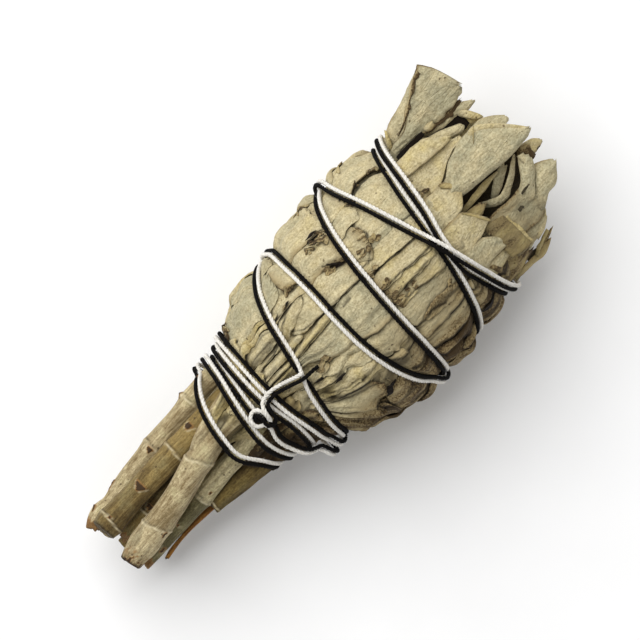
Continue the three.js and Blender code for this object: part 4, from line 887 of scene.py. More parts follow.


# Leaves that are seen from above, from the -Y side to the +Y side, the later ones on top. Points are
# (x, lower y, higher y). Their soil values brown them, partly as real staining and partly as painted shade.
seenLeaves = [
    # lower edge, in the shade
    leaf((-10, -13.4, -10.8), (-7, -16, -12.2), (-4, -18, -14.4), (0, -19.6, -15.6), (4, -20.5, -16.6),
        tone=0.5, crown=0.5, soil=0.45),
    leaf((0.4, -19.5, -14.8), (5, -20.6, -14.9), (12, -21.5, -17.6), tone=0.5, crown=0.6, soil=0.35),
    leaf((9, -21.5, -18.2), (12, -21, -18.9), (15, -20.8, -18.9), (18.2, -20.2, -18.4), tone=0.45,
        crown=0.5, brown=(0, 0.7), soil=0.5, sides=(0.3, 0.2)),
    leaf((20, -20.2, -18.8), (24, -20.4, -18.9), (28.8, -19, -18.2), tone=0.5, crown=0.6, brown=(0.2, 0.4),
        soil=0.5),
    leaf((11.5, -18.8, -17.3), (15, -18.7, -17.4), (19, -18.2, -17.6), tone=0.6, crown=0.5,
        sides=(0.5, 0.2), soil=0.5),
    leaf((21.5, -18.5, -17.4), (24.5, -18.5, -17.3), (28.8, -17.9, -16.9), crown=0.7, soil=0.2),
    leaf((16.4, -18.6, -18.1), (18.5, -18.2, -17.8), (20.8, -18.3, -17.8), tone=0.7, crown=0.6,
        thickness=0.4),
    leaf((6, -18.4, -15.6), (9, -18.6, -15.8), (13, -18.2, -16), tone=0.7, crown=0.4, sides=(0.2, 0.3),
        soil=0.4),
    leaf((12, -17.1, -16.1), (15, -17.1, -16.2), (19, -17.5, -16.4), (22.8, -17.2, -16.4), tone=0.6,
        crown=0.5, sides=(0.3, 0.2), soil=0.45),
    leaf((22.6, -16.9, -15.9), (25, -16.7, -15.6), (28.4, -16.3, -15.2), tone=0.6, crown=0.5, soil=0.4),
    leaf((22, -15.7, -12.6), (26, -15.3, -12.6), (30, -15, -12.6), tone=0.5, crown=0.4, soil=0.2),
    leaf((6, -16, -12), (9, -15.7, -12.1), (13, -15.6, -12.6), tone=0.35, crown=0.45, soil=0.12),
    leaf((12, -15.7, -12.8), (17, -15.7, -13), (22, -16, -13), (27, -15.4, -12.4), crown=0.4),
    leaf((12.6, -13.3, -10.6), (16, -13.2, -10.5), (20, -13.2, -10.4), (25, -13.3, -10.4), tone=0.45,
        crown=0.45),
    leaf((5, -12.4, -10.2), (8, -12.4, -10.5), (12.8, -12.3, -10.6), crown=0.35),
    # fan of narrow leaves, low on the neck side
    leaf((-9.6, -12.4, -10.6), (-7, -14.4, -11.6), (-4.5, -16.4, -13.6), (-2, -17.8, -15), (1, -18.6, -16),
        tone=0.5, crown=0.7, soil=0.35, pleat=0.2),
    leaf((-9.6, -11.2, -9.3), (-7, -12.6, -10.2), (-5, -14.4, -11.9), (-3, -15.8, -13.4), (-1, -16.8, -15),
        tone=0.45, crown=0.7, soil=0.25, pleat=0.2),
    leaf((-9.6, -9.8, -8), (-7.6, -11.2, -8.9), (-5.4, -13.2, -10.6), (-3.4, -14.9, -12.4),
        (-1.4, -16.2, -14), crown=0.8, soil=0.15, pleat=0.2),
    leaf((-9.8, -8.6, -7), (-7.5, -10, -7.8), (-5, -12, -9.2), (-3, -13.8, -10.2), (-1.3, -14.9, -10.9),
        (0.7, -14.7, -11.6), (2.2, -13.6, -12.6), tone=0.35, crown=0.9, brown=(0.1, 0.55),
        sides=(0.1, 0.15), pleat=0.22, ends=(0.8, 0.6), raised=(0, 0.25)),
    leaf((3, -14.4, -11.4), (6, -14.2, -11.2), (9, -14, -11), soil=0.1),
    leaf((-8.6, -7.6, -6.5), (-6, -8.9, -7.3), (-4, -9.9, -8.2), (0, -11.1, -9.5), (5, -11.7, -9.9),
        tone=0.7, crown=0.8, pleat=0.16),
    leaf((-8.2, -6.7, -5.9), (-6, -7.7, -6.3), (-4.2, -8.5, -6.9), (-1, -9.5, -7.2), (2, -9.8, -8),
        (5, -10.1, -8.8), tone=0.75, crown=0.8, pleat=0.16),
    leaf((-8, -5.7, -4.9), (-5, -6.4, -5), (-3, -6.9, -5.3), (0.3, -7.3, -5.5), (2, -8.3, -5.8),
        (5, -9.2, -6), tone=0.45, crown=0.7, pleat=0.14),
    leaf((-8.4, -5, -3.4), (-5.5, -4.6, -3.3), (-4.3, -5, -3.4), (-1, -6.3, -3.8), (2, -6, -4),
        (5, -6.8, -4.8), crown=0.5),
    leaf((5, -10.4, -6), (8, -10.8, -6.2), (12.8, -11, -6.4), tone=0.3, crown=0.35),
    leaf((12.6, -10.9, -6), (16, -10.7, -6), (20, -10.7, -6.2), (25, -11, -6.8), tone=0.2, crown=0.55,
        rib=0.06),
    leaf((15, -11, -10.2), (18, -11.2, -9.4), (21, -12, -9.7), (24, -12.4, -10.8), tone=0.6, crown=0.2,
        soil=0.3, pleat=0.16),
    # right end, low
    leaf((28, -17.8, -12.6), (32, -17.6, -12.6), (36.5, -16.4, -12.8), tone=0.8, brown=(0, 0.5), soil=0.3),
    # middle, between the two turns on the right
    leaf((13.4, -7, -4), (17, -6.3, -4), (20, -6.7, -3.9), (25, -7.4, -3.8), tone=0.6, crown=0.35,
        brown=(0.8, 0), ends=(0.8, 1.5)),
    leaf((13.4, -4.4, -2), (18, -4.4, -1.9), (25.5, -4.5, -2.6), tone=0.7, brown=(0.6, 0)),
    leaf((13.4, -2.2, 0.7), (16, -2.3, 0.9), (20, -2.5, 0.6), (25.5, -3.2, 0.2), tone=0.62, crown=0.35,
        brown=(0.45, 0)),
    leaf((13.2, 1.6, 4.6), (16, 1.3, 4.6), (20, 0.8, 4.7), (24.5, 0.2, 4.6), tone=0.6),
    leaf((17, 4.0, 10), (20, 4.2, 12.6), (23, 4.3, 13), tone=0.3, crown=0.5),
    leaf((13.4, 5, 12), (15, 4, 12), (16.2, 3.0, 11), (17.6, 4.2, 9.8), (18.6, 6.0, 8.2), tone=0.35,
        crown=0.5, brown=(0, 0.6), sides=(0.25, 0), raised=(0, 0.4), ends=(0.8, 1)),
    leaf((13.6, 9.6, 15), (16.5, 9.4, 15), (20.6, 9.6, 15), crown=0.35),
    leaf((14, 12.8, 19.4), (17, 12.9, 20), (20.4, 12.8, 20), tone=0.45, crown=0.4, brown=(0.3, 0.3)),
    # middle, between the turns on the left
    leaf((-7, -1.2, 0.4), (-4, -1.8, 0.9), (-2, -3.2, 0.9), (0, -4.2, 1.2), (4, -5, 1.6), (8, -6.3, 2.5),
        (13, -6.5, 2.5), tone=0.2, crown=0.35, rib=0.05, sides=(0.3, 0)),
    leaf((-12.6, -2.4, -1.2), (-9, -3.6, -2), (-5, -4.4, -2.4), (-1.5, -4.4, -3.2), tone=0.6, crown=0.5,
        brown=(0, 0.4)),
    leaf((-12.8, -0.9, 0.5), (-9, -1.2, 0.4), (-5.5, -1.2, 0.3), tone=0.7, crown=0.55, thickness=0.35),
    leaf((-12.8, 0.7, 1.9), (-9, 0.6, 1.8), (-5.6, 0.3, 1.5), (-1, 0.6, 2.2), (5, 1.2, 2.9), tone=0.6,
        crown=0.45, thickness=0.35),
    leaf((-13, 1.8, 3.4), (-9, 1.8, 3.9), (-5, 2, 4.2), (-1, 2.2, 3.6), tone=0.65, crown=0.55, rib=0.1),
    leaf((-2.2, 2.8, 5.6), (0, 2.7, 7), (4, 2.7, 8.4), (8, 2.3, 8.6), (11, 2.1, 7.4), (13.6, 2.2, 6),
        tone=0.5, crown=0.4, ends=(2, 1), sides=(0.1, 0.4), brown=(0, 0.4), rib=0.05),
    leaf((-4.6, 4.4, 6.2), (-2.4, 4.6, 7.7), (0, 5.2, 8), (3, 6.2, 8.6), tone=0.45, crown=0.35,
        ends=(1.5, 1.5)),
    leaf((-12.6, 3.6, 5.4), (-9, 4, 5.8), (-5.6, 3.9, 5.2), (-3.8, 4.4, 5.2), tone=0.55, crown=0.5),
    leaf((-11.6, 5.2, 7.8), (-9, 4.9, 8.2), (-6.5, 4.9, 8.4), (-4.2, 5.2, 8), tone=0.45, crown=0.55,
        raised=(0, 0.3), ends=(2, 1.5)),
    leaf((5, 7.4, 14.2), (8, 8, 14.4), (11, 7.4, 14), (14, 6.4, 13.4), tone=0.5, crown=0.4, sides=(0.5, 0),
        brown=(0, 0.3)),
    leaf((-5, 7.4, 12), (-2, 7.6, 16.8), (2, 7.6, 17.6), (5.6, 7.6, 17.6), tone=0.45, crown=0.35,
        sides=(0.2, 0)),
    leaf((1.5, 9.9, 14.2), (3.4, 9.8, 14.2), (6, 9.6, 14), tone=0.5, crown=0.2, ends=(0.6, 1),
        sides=(0.6, 0), brown=(0.5, 0)),
    leaf((-13, 7.2, 8.6), (-9, 7.9, 9.2), (-5, 8.1, 9.2), (-2, 8, 9), tone=0.8, crown=0.45, rib=0.1),
    leaf((-13, 8.2, 9.6), (-9, 8.9, 10.2), (-5, 9, 10.2), (-3, 9.2, 10), tone=0.85, crown=0.45, rib=0.1),
    leaf((-12, 9, 12.5), (-9, 9.4, 14.8), (-5, 9.6, 15.4), (-1, 10, 15.6), (2, 11, 15.8), tone=0.15,
        crown=0.55, rib=0.04),
    leaf((-9.8, 14.2, 16), (-7, 14.9, 18), (-3, 15, 18.6), (1, 15.2, 18.6), (4.6, 15.4, 18.4), tone=0.2,
        crown=0.5, brown=(0, 0.2)),
    leaf((5.4, 13.2, 19.4), (9, 13.4, 20.4), (12, 13, 20.6), (15, 12.4, 20.4), tone=0.45, crown=0.4,
        sides=(0.45, 0.2), rib=0.04),
    # right end, high
    leaf((22.6, 3.4, 9.4), (25, 3.4, 9.4), (28.4, 3.4, 9.4), tone=0.3, crown=0.45),
    leaf((24, -0.5, 3.6), (26, -1, 3.6), (28.2, -1.4, 3.6), tone=0.5),
    leaf((28, 3.6, 8.6), (30, 3.6, 8.8), (33, 4.4, 9), tone=0.6, crown=0.35, sides=(0.5, 0),
        brown=(0, 0.3)),
    leaf((29, 8, 12.6), (31, 8, 12.8), (33.6, 8.6, 12.6), tone=0.6, crown=0.35, brown=(0, 0.3)),
    leaf((21, 8.6, 13.2), (24, 8.6, 13.4), (29.6, 8.4, 13.2), tone=0.45, crown=0.5),
    leaf((20, 13, 19.6), (23, 13.6, 20.4), (27, 13.5, 19.2), (31, 12.8, 17.4), tone=0.45, crown=0.5,
        sides=(0.7, 0.3), curl=(0.25, 0.1), rib=0.04),
]

# Leaf stalks and pieces of leaf at the neck, over the stems; the dark values paint two of them darker, as
# painted shade
neckLeaves = [
    leaf((-22, -10.4, -7.6), (-17, -11.4, -8.6), (-13, -13.8, -10.4), (-9, -15.6, -12), tone=0.6, soil=0.5,
        crown=0.4, pleat=0.2, brown=(0.4, 0)),
    leaf((-24.6, -9.4, -8.4), (-22.6, -9.6, -7.8), (-20, -9.8, -7.1), (-15, -10.8, -6), tone=0.9,
        brown=(0.55, 0.6), sides=(0.5, 0.4), soil=0.6, dark=0.45),
    leaf((-24.4, -4.2, -3.2), (-22.6, -5.3, -2.4), (-20.6, -5.8, -2.0), (-18.6, -5, -2.2), tone=0.5,
        crown=0.7, raised=(0.3, 0.2), sides=(0.3, 0.1), ends=(1.4, 0.6)),
    leaf((-25, -1.9, -0.4), (-21, -2, -0.3), (-15, -2.4, -0.4), tone=1.0, brown=(0.7, 0.5),
        sides=(0.4, 0.4), dark=0.75),
    leaf((-23.6, 0.6, 3.6), (-21.5, 0.7, 4.5), (-19.4, 0.9, 4.7), (-18.2, 1, 4.6), tone=0.75, ends=(2, 0.5),
        sides=(0.3, 0)),
    leaf((-19.6, 0.5, 4.6), (-16, 0.6, 4.8), (-11, 0.8, 4.6), tone=0.8),
    leaf((-24, 2.8, 4.4), (-20, 4.2, 5.6), (-16, 5.2, 6.9), (-11, 6.4, 8), tone=1.05, crown=0.5, rib=0.1),
    leaf((-22, 4.2, 5.4), (-18, 5.2, 6.9), (-14, 6.6, 8.4), (-9, 7.6, 9.3), tone=0.9, crown=0.5, rib=0.1),
    leaf((-18, 6.8, 9.4), (-14.5, 7.6, 10.8), (-10, 8.8, 12), tone=0.5, crown=0.4),
    leaf((-17, 9.6, 12.2), (-15, 9.8, 13), (-13, 10, 13), tone=0.05, crown=0.5, raised=(0.3, 0.2)),
    leaf((-12.2, 11.4, 14.4), (-10.6, 12, 15), (-9.4, 12.4, 15), tone=0.6, brown=(1.1, 0.6),
        sides=(0.6, 0.9), raised=(0.1, 0.1)),
    leaf((-17, -6, -3.4), (-13.5, -6.6, -3.6), (-10, -6.2, -3.4), tone=0.8, brown=(0.3, 0), crown=0.4,
        soil=0.4, pleat=0.2),
    leaf((-17.5, -9.4, -6.4), (-13.5, -10, -6.8), (-9, -10.8, -7.6), tone=0.9, brown=(0.5, 0.1),
        sides=(0.4, 0.2), crown=0.4, soil=0.6, pleat=0.2),
]

for i, row in enumerate(seenLeaves + neckLeaves):
    layLeaf(seed=500 + 17 * i, **row)

# Torn brown places on the body: x, y, length, width and number of flakes
tornPlaces = [
    (11.4, 12.0, 4.4, 2.2, 16), (11.2, 7.2, 4.0, 1.2, 8), (17.2, 4.3, 4.6, 2.6, 14),
    (17.9, 7.2, 0.8, 3.0, 5), (0.3, 7.8, 1.2, 0.5, 3), (-2.2, -3.2, 2.6, 0.8, 8), (14.8, 1.6, 2.2, 0.7, 5),
    (14.8, -1.6, 2.0, 0.8, 5), (14.9, -3.6, 2.2, 0.8, 5), (16.4, -5.4, 5.0, 1.0, 10),
    (14.8, 17.6, 4.4, 0.5, 6), (24.6, 17.5, 6.4, 0.6, 8), (21.0, 13.1, 2.2, 0.8, 5),
    (25.4, 13.5, 5.4, 0.5, 6), (30.0, 5.0, 2.0, 1.8, 9), (2.2, 9.9, 1.6, 0.4, 4), (22.2, -9.4, 1.0, 0.5, 2),
    (17.8, -19.4, 1.6, 0.6, 5), (-10.2, 13.2, 1.6, 0.8, 5),
]
# Dark openings between leaves, thin sheets painted near black as painted shade: points (x, lower y, higher
# y)
openings = [
    [(0.9, -14.7, -14.5), (1.8, -15, -14), (2.4, -14.9, -13.7), (3.1, -14.3, -13.8), (4.4, -14.1, -13.9)],
    [(-3.4, -7.0, -6.85), (-2.3, -7.15, -6.65), (-1, -7, -6.9)],
    [(-5.6, -4.5, -4.4), (-5, -4.8, -4.5), (-4.2, -4.9, -4.8)],
    [(22.6, -17.3, -17.1), (24.4, -17.2, -16.6), (26.6, -16.7, -16.5)],
    [(10.2, 7.7, 7.9), (10.9, 7.1, 7.5), (12.4, 6.2, 6.4)],
    [(11, 13, 13.2), (12, 12.95, 13.25), (13, 12.9, 13.1)],
    [(0.4, 7.5, 7.9), (0.8, 7.6, 8.1), (1.2, 7.9, 8.1)],
]


def layTorn(x, y, length, width, count, seed):  # small flakes with brown margins
    draw = randomRow(seed)
    ground = blurred(heights, 0.8)
    for _ in range(count):
        size = 0.6 + 1.0 * draw() ** 1.5
        high = size * (0.3 + 0.4 * draw())
        xMiddle = x + length * (draw() - 0.5)
        yMiddle = y + width * (draw() - 0.5)
        lean = high * (draw() - 0.5) * 2.0
        points = [(xMiddle + sign * size / 2, yMiddle - high / 2 + sign * lean / 2,
                   yMiddle + high / 2 + sign * lean / 2) for sign in (-1, 1)]
        layLeaf(points, int(draw() * 90000), tone=0.75, crown=0.1, rag=0.25, tear=0.25, ends=(0.3, 0.3),
                cell=0.16, brown=(0.3 * draw(), 0.4 * draw()), sides=(0.8 * draw(), 0.8 * draw()),
                raised=(0, 0.12 * draw()), wrinkle=0.05, thickness=0.1, pleat=0, ground=ground, veins=0)


for i, spot in enumerate(tornPlaces):
    layTorn(*spot, seed=810 + 13 * i)
for i, opening in enumerate(openings):
    layLeaf(opening, 990 + i, dark=1, crown=0, rag=0.2, ends=(1.2, 1.2), cell=0.2, wrinkle=0, thickness=0.06,
            pleat=0)
print("stage 5: seen leaves", len(laidLeaves))

# The other side, where the photograph shows nothing: narrower leaves of the same kind, between the seen ones
underRows = [
    (-15, 26, 15, 5.5, 3, 0.3), (-5, 22, 17, 8, 9, 0.3), (6, 24, 17, 7.5, 2, 0.3),
    (16, 24, 17, 7.5, 11, 0.3), (1, 15, 13, 9, 5, 0.6), (13, 15, 12, 9, 14, 0.6), (23, 15, 11, 8, 6, 0.6),
]
layRows(underRows, 23, True, cell=0.5, crown=0.45, brown=(0.1, 0.4), sides=(0.12, 0.12), tear=0.5)
print("stage 6: laid leaves", len(laidLeaves))


def pressedShape():  # the scale and the ceiling that turn stack heights into lifts over the skin
    tree = kdtree.KDTree(len(wound["middle"]))
    for i, spot in enumerate(wound["middle"]):
        tree.insert(Vector(spot), i)
    tree.balance()
    X, A = np.meshgrid(stackX, stackAngles, indexing="ij")
    spots = skinPoint(X, A, twine["rise"]).reshape(-1, 3)
    distance = np.array([tree.find(Vector(spot))[2] for spot in spots]).reshape(X.shape)
    puff = 1 - np.exp(-(np.maximum(distance - 0.7, 0) / stack["spread"]) ** 1.25)
    waves = 1 + 0.28 * patchNoise(X / 6.5, A / 16, 41) + 0.14 * patchNoise(X / 2.4, A / 7, 42)
    rimPuff = stack["bulge"] + stack["edgeBulge"] * np.abs(np.cos(np.radians(A))) ** 3
    allowed = stack["press"] + rimPuff * puff * waves
    ceiling = stack["press"] + 0.03 + 2.2 * np.maximum(distance - 0.85, 0)
    average = blurred(heights, 6.0)
    scale = np.clip((allowed + stack["depth"]) / np.maximum(average, 0.2), 0.35, 1.8)
    scale = 1 + (scale - 1) * smoothstep(X, stack["neckFrom"], stack["neckTo"])
    return blurred(scale, 1.2), ceiling, blurred(heights, 0.7)


pressScale, ceiling, nearAverage = pressedShape()


def liftFrom(height, x, degrees):
    lift = height * fieldAt(pressScale, x, degrees) - stack["depth"]
    limit = fieldAt(ceiling, x, degrees)
    soft = 0.16
    return limit - soft * np.logaddexp(0, (limit - lift) / soft)


def leafSheet(laid):  # a laid leaf as its upper and its lower grid of points, with its masks
    x, degrees = laid["x"], laid["degrees"]
    upper, lower = (skinPoint(x, degrees, liftFrom(laid[side], x, degrees)) for side in ("top", "bottom"))
    # Painted shade: the leaf is darkened where it lies below the leaves near it, mostly where seams gape,
    # and wherever it is given dark.
    cavity = (fieldAt(nearAverage, x, degrees) - laid["top"] - 0.08) / 0.3
    patchy = (0.75 + 0.4 * patchNoise(x / 1.4, degrees / 3.0, 77)) * (0.12 + 0.88 * seamOpen(x, degrees))
    creviceShade = np.maximum(clamp(cavity) * np.clip(patchy, 0.05, 1), laid["dark"])
    return dict(upper=upper, lower=lower, masks={**laid["masks"], "creviceShade": creviceShade})


seamAngles = [43, 79, 107, 144, 240, 338]  # where one leaf piece ends and the next one starts


def wedgeOf(angle):  # the leaf piece that an angle lies in
    return int(np.searchsorted(seamAngles, angle, side="right")) % len(seamAngles)


wedges = [[] for _ in seamAngles]
for laid in laidLeaves:
    wedges[wedgeOf(laid["angle"])].append(leafSheet(laid))

# Leaves at the tips that are given by their two margins, as (x, low y, low z, high y, high z)
marginLeaves = [
    # the big folded leaf, its front and its back flap, and a yellow sliver beside it
    leaf((29.8, 11.4, 25.4, 13.4, 23.4), (31.6, 11.6, 25.4, 13.5, 23.2), (32.6, 11.8, 25.9, 13.8, 24.8),
        (33.4, 11.9, 26.6, 14, 26.4), (35.5, 12.1, 27.6, 14, 28.9), (37, 12, 27.8, 14.8, 29.4),
        (38, 11.6, 27.8, 15.5, 29.7), (40, 11.3, 28, 17, 30.2), (42.2, 10.9, 28.2, 18.5, 30.4),
        (45, 11, 28.4, 19.9, 30.4), (45.7, 11.2, 28.5, 20.3, 30.3), (46.5, 11.3, 28.6, 19.3, 30.1),
        (46.8, 11.4, 28.6, 17.9, 30), (47.6, 11.2, 28.6, 17.3, 29.8), (47.7, 11.2, 28.6, 15.9, 29.7),
        (48.3, 12, 28.8, 13.6, 29.3), tone=0.1, bow=0.6, margins=(0.3, 0.9), crumple=0.16, rag=0.45,
        fray=0.8),
    leaf((34.6, 14, 29.2, 14.4, 29), (37, 14.8, 29.7, 15.3, 29.5), (40, 16.5, 30.5, 17.3, 30.3),
        (42.6, 18.3, 30.8, 19, 30.5), (44.8, 19.2, 30.8, 19.9, 30.4), soil=0.55, margins=(0.7, 0.2),
        rag=0.6, bow=0.15, crumple=0.1, tone=0.6),
    leaf((37.2, 11.4, 28, 12.4, 27.8), (39.2, 10.5, 28, 11.6, 27.8), (42, 10.3, 27.9, 11.4, 27.6),
        (46.4, 10.4, 27.9, 11.2, 27.6), soil=0.8, margins=(0.9, 0.9), rag=0.6, bow=0.1, tone=0.8, fray=0.6),
    # three thin sheets painted near black: painted shade in the gaps round the folded leaf
    leaf((31.8, 11.1, 26.2, 12.1, 26.2), (34, 11.1, 28.2, 12.1, 28.2), (37.8, 11, 28.6, 12, 28.6), dark=1.0,
        bow=0, crumple=0),
    leaf((36.4, 10.4, 27.2, 11.4, 27.2), (38.4, 9, 27, 10.4, 27), (41, 8.7, 27, 9.9, 27),
        (45.2, 8.7, 27, 10.2, 27), dark=1.0, bow=0, crumple=0),
    leaf((42.9, 6.7, 26.9, 8.6, 26.9), (43.8, 6.7, 27, 9.3, 27), (44.8, 6.9, 26.9, 9, 26.9), dark=1.0,
        bow=0, crumple=0),
    leaf((44.3, 8.9, 27.3, 9.9, 27.3), (45.2, 7.3, 27.6, 9.8, 27.4), (46, 6.3, 27.4, 9, 27.2),
        (46.9, 6.1, 27.1, 6.9, 27.1), tone=0.5, margins=(0.3, 0.1)),
    leaf((29.6, 12.5, 24, 14.8, 20.6), (31.5, 12.8, 23.8, 15, 19.4), (32.6, 13, 24.6, 15.6, 21),
        (34, 13.4, 26.6, 16.3, 25.4), (36, 14, 27.3, 17.15, 26), (40, 16, 28.4, 18.2, 26.8),
        (43.5, 18, 29, 19.5, 27.2), (44.4, 18.8, 29, 19.6, 27.4), tone=0.35, bow=0.4, margins=(0, 0.5),
        rag=0.3, soil=0.05),
    leaf((32.2, 13, 24.4, 13.9, 24.2), (33, 14.2, 26.2, 15.6, 25.8), (33.6, 15.5, 26.6, 16.4, 26),
        (34.1, 16.5, 26.6, 16.9, 26), tone=1.0, margins=(0.1, 0.3)),
    # the ends of the body's leaves
    leaf((27, -2.3, 0.05, 3.5, 0.05), (28.4, -2.4, 0.1, 3.5, 0.1), (29.6, -2.5, 0.5, 3.5, 0.5),
        (31.5, -2.45, 0.95, 3.45, 0.9), (33.2, -2.2, 1.3, 3.4, 1.3), (34.6, -0.9, 1.6, 3.2, 1.5),
        (35.3, 0.1, 1.8, 2.0, 1.7), tone=0.6, bow=0.15, margins=(0.15, 0.3), brown=(0, 0.3), overSkin=True,
        fray=0.6),
    leaf((25.4, -8, 0.05, -2, 0.05), (27, -8, 0.15, -2.1, 0.15), (28.4, -8, 0.5, -2.3, 0.5),
        (31.6, -7.9, 0.9, -2.4, 0.8), (32.6, -7.8, 1, -2.5, 1), (33.6, -7.4, 1.2, -4, 1.2),
        (34.7, -6.9, 1.3, -5.9, 1.3), tone=0.55, bow=0.25, margins=(0.25, 0.6), brown=(0, 0.2),
        overSkin=True, rag=0.2),
    leaf((25.4, -12.3, 0, -7.6, 0), (27, -12.4, 0.1, -7.5, 0.1), (28.6, -12.2, 0.6, -7.6, 0.5),
        (31.5, -11.9, 1, -7.8, 0.7), (33.2, -12, 1.4, -9.1, 1.2), (34.4, -12.2, 1.7, -10.5, 1.5),
        (35.6, -12.4, 1.8, -11.9, 1.7), tone=0.35, bow=0.5, margins=(0.1, 0.3), brown=(0, 0.1),
        overSkin=True),
    leaf((26, -14, -0.1, -12, 0), (29, -14.2, 0.3, -12, 0.4), (33, -13.6, 0.7, -12, 0.8),
        (34.8, -13, 0.8, -12.3, 0.9), tone=0.6, margins=(0.5, 0.3), brown=(0, 0.5), overSkin=True),
    # the two under it, and the rolled finger
    leaf((28, 8.6, 29.2, 11.4, 28.2), (31, 8.2, 30.2, 11.4, 29), (34, 7.9, 30.6, 11.4, 29.4),
        (37, 7.5, 30.8, 11.1, 29.6), (38.5, 7.4, 30.6, 9.9, 29.7), (40.5, 7.4, 30, 7.8, 29.9), tone=0.6,
        margins=(0.25, 0.1)),
    leaf((28, 4, 30, 8.8, 29.2), (31, 3.4, 30.4, 8.6, 29.6), (33.7, 3.3, 30.6, 8.4, 29.6),
        (36.4, 4.8, 30.6, 8, 29.5), (39, 5.8, 30.4, 7.8, 29.3), (41.9, 6.1, 30, 6.7, 29.2), tone=0.6,
        bow=-0.3, margins=(0.2, 0)),
    leaf((37, 11.4, 26.8, 12.8, 26.4), (39, 10, 26.8, 11.8, 26.2), (41, 9.5, 27, 11.2, 26.4),
        (44.5, 9.4, 27.4, 11, 26.6), (46, 8.5, 27.4, 10.8, 26.8), (47.9, 9, 27.2, 9.5, 27), bow=0.5,
        margins=(0.2, 0.5)),
    leaf((41, 7.4, 25.6, 9.4, 25.2), (44, 7.1, 26.2, 9.3, 25.8), (45.6, 6.3, 26.4, 8.9, 26),
        (46.9, 6.1, 26.2, 7, 26), tone=0.9, bow=0.4, margins=(0.3, 0.3)),
    leaf((38.4, 11.2, 28.4, 12.4, 28.2), (39.4, 10.8, 28.9, 12.2, 28.8), (40.2, 11.2, 28.9, 11.9, 28.8),
        tone=0.7, margins=(0.4, 0.2), bow=0.4),
    # the large flat one on top, with a leaf behind it
    leaf((32, -0.4, 29.6, 2.4, 30), (35, -1, 31.2, 3.5, 31.6), (37, -1.15, 31.8, 5, 32),
        (40, -1.5, 31.9, 5.9, 32), (41.5, -1.7, 31.9, 6.2, 31.9), (45, -2.2, 31.8, 6.3, 31.6),
        (46.5, -2, 31.7, 4.8, 31.5), (48, -1.9, 31.6, 3.1, 31.4), (49.5, -1.85, 31.4, 1.2, 31.2),
        (50.4, -1.8, 31.2, -0.1, 31.1), (51, -1.2, 31.1, -0.8, 31.1), tone=0.2, bow=0.45,
        margins=(0.0, 0.1), roll=0.9, veins=0.8),
    leaf((41, 2.6, 28.6, 6, 29), (45, 3, 29, 6.3, 29.4), (46.6, 3.2, 29, 6.1, 29.2),
        (48.4, 2.3, 28.8, 4.9, 28.8), (49.9, 2.4, 28.4, 3.6, 28.5), tone=0.35, margins=(0, 0.25)),
    leaf((45.6, -4.8, 27, -1.6, 27.2), (47.4, -4.9, 27.4, -1.8, 27.6), (48.8, -4.75, 27.6, -2, 27.8),
        (50.2, -4.45, 27.4, -2.5, 27.6), (50.8, -4.1, 27, -3.4, 27.2), tone=0.45, margins=(0.6, 0.1),
        brown=(1.3, 0)),
    # low side: the wavy lobe in two folds, the shaded leaf beside it, its lower lobe and the torn fringe;
    # their dark and soil values paint some of them darker, as painted shade
    leaf((42.4, -12.7, 25.4, -9.7, 26.8), (44, -11.9, 26.2, -8.5, 27), (45.4, -10.9, 26.6, -7.1, 27.4),
        (47, -10.95, 26.6, -5.6, 28), (48.2, -10.5, 26.3, -6.2, 27.8), (49.3, -9.3, 26.2, -6.9, 27.6),
        (49.8, -7.8, 26.6, -7.2, 27), tone=0.15, bow=0.95, margins=(0.1, 0.45), crumple=0.3),
    leaf((40.6, -9, 26.6, -7, 27), (42, -9.7, 27.6, -6.9, 28.4), (43, -10, 28.3, -6.5, 28.9),
        (44, -9, 28.9, -5.6, 29.3), (45, -8.1, 29, -4, 29.4), (45.8, -7.4, 28.9, -2.9, 29.4),
        (46.6, -6.8, 28.8, -2.9, 29.2), (47.3, -5.6, 28.6, -3.2, 29), tone=0.3, bow=0.5, margins=(0, 0.25),
        crumple=0.35),
    leaf((45.9, -5.3, 29.5, -2.8, 29.9), (46.5, -5.6, 29.6, -2.9, 30), (47, -5.4, 29.3, -3.2, 29.7),
        tone=0.35, bow=0.2, crumple=0.1),
    leaf((31, -12, 25.8, -6.6, 27.6), (36, -13, 26.2, -6.8, 28.6), (39, -13, 26, -7.1, 28.8),
        (41, -13.3, 25.6, -7, 28.8), (42.6, -12.8, 25.8, -6.9, 28.6), (43.6, -12.2, 26, -8.6, 28), tone=0.1,
        crumple=0.5, margins=(0.4, 0.5), soil=0.33, dark=0.14),
    # two small sheets painted dark: painted shade in creases
    leaf((39.5, -9.6, 29.5, -9.3, 29.6), (40.2, -9.5, 29.5, -9, 29.6), (40.9, -9.8, 29.4, -9.4, 29.5),
        dark=0.9, bow=0, crumple=0, rag=0.4, fray=0.5),
    leaf((41.9, -7.9, 29.3, -7.6, 29.4), (42.7, -7.7, 29.6, -7.3, 29.7), (43.6, -7.6, 29.7, -7.4, 29.8),
        dark=0.9, bow=0, crumple=0, rag=0.4, fray=0.5),
    leaf((34, -15, 23, -12, 25), (37.2, -15.3, 23, -12.8, 25.4), (39, -15.3, 23.2, -12.8, 25.4),
        (40.8, -14.6, 23.4, -13.2, 25.2), (42.3, -13.6, 24, -12.9, 25), tone=0.2, bow=0.4,
        margins=(0.1, 0.3), crumple=0.35, soil=0.3),
    leaf((38.4, -15.4, 24, -14.9, 24.4), (40.6, -14.9, 24, -14, 24.6), (42, -13.8, 24.3, -13, 24.8),
        (43, -12.8, 24.8, -12.4, 25), tone=0.5, bow=0.2, crumple=0.1),
    leaf((33, -14.2, 26.6, -7, 29.2), (35, -14.8, 26.8, -7.3, 29.4), (36.5, -15, 26.6, -7.8, 29.2),
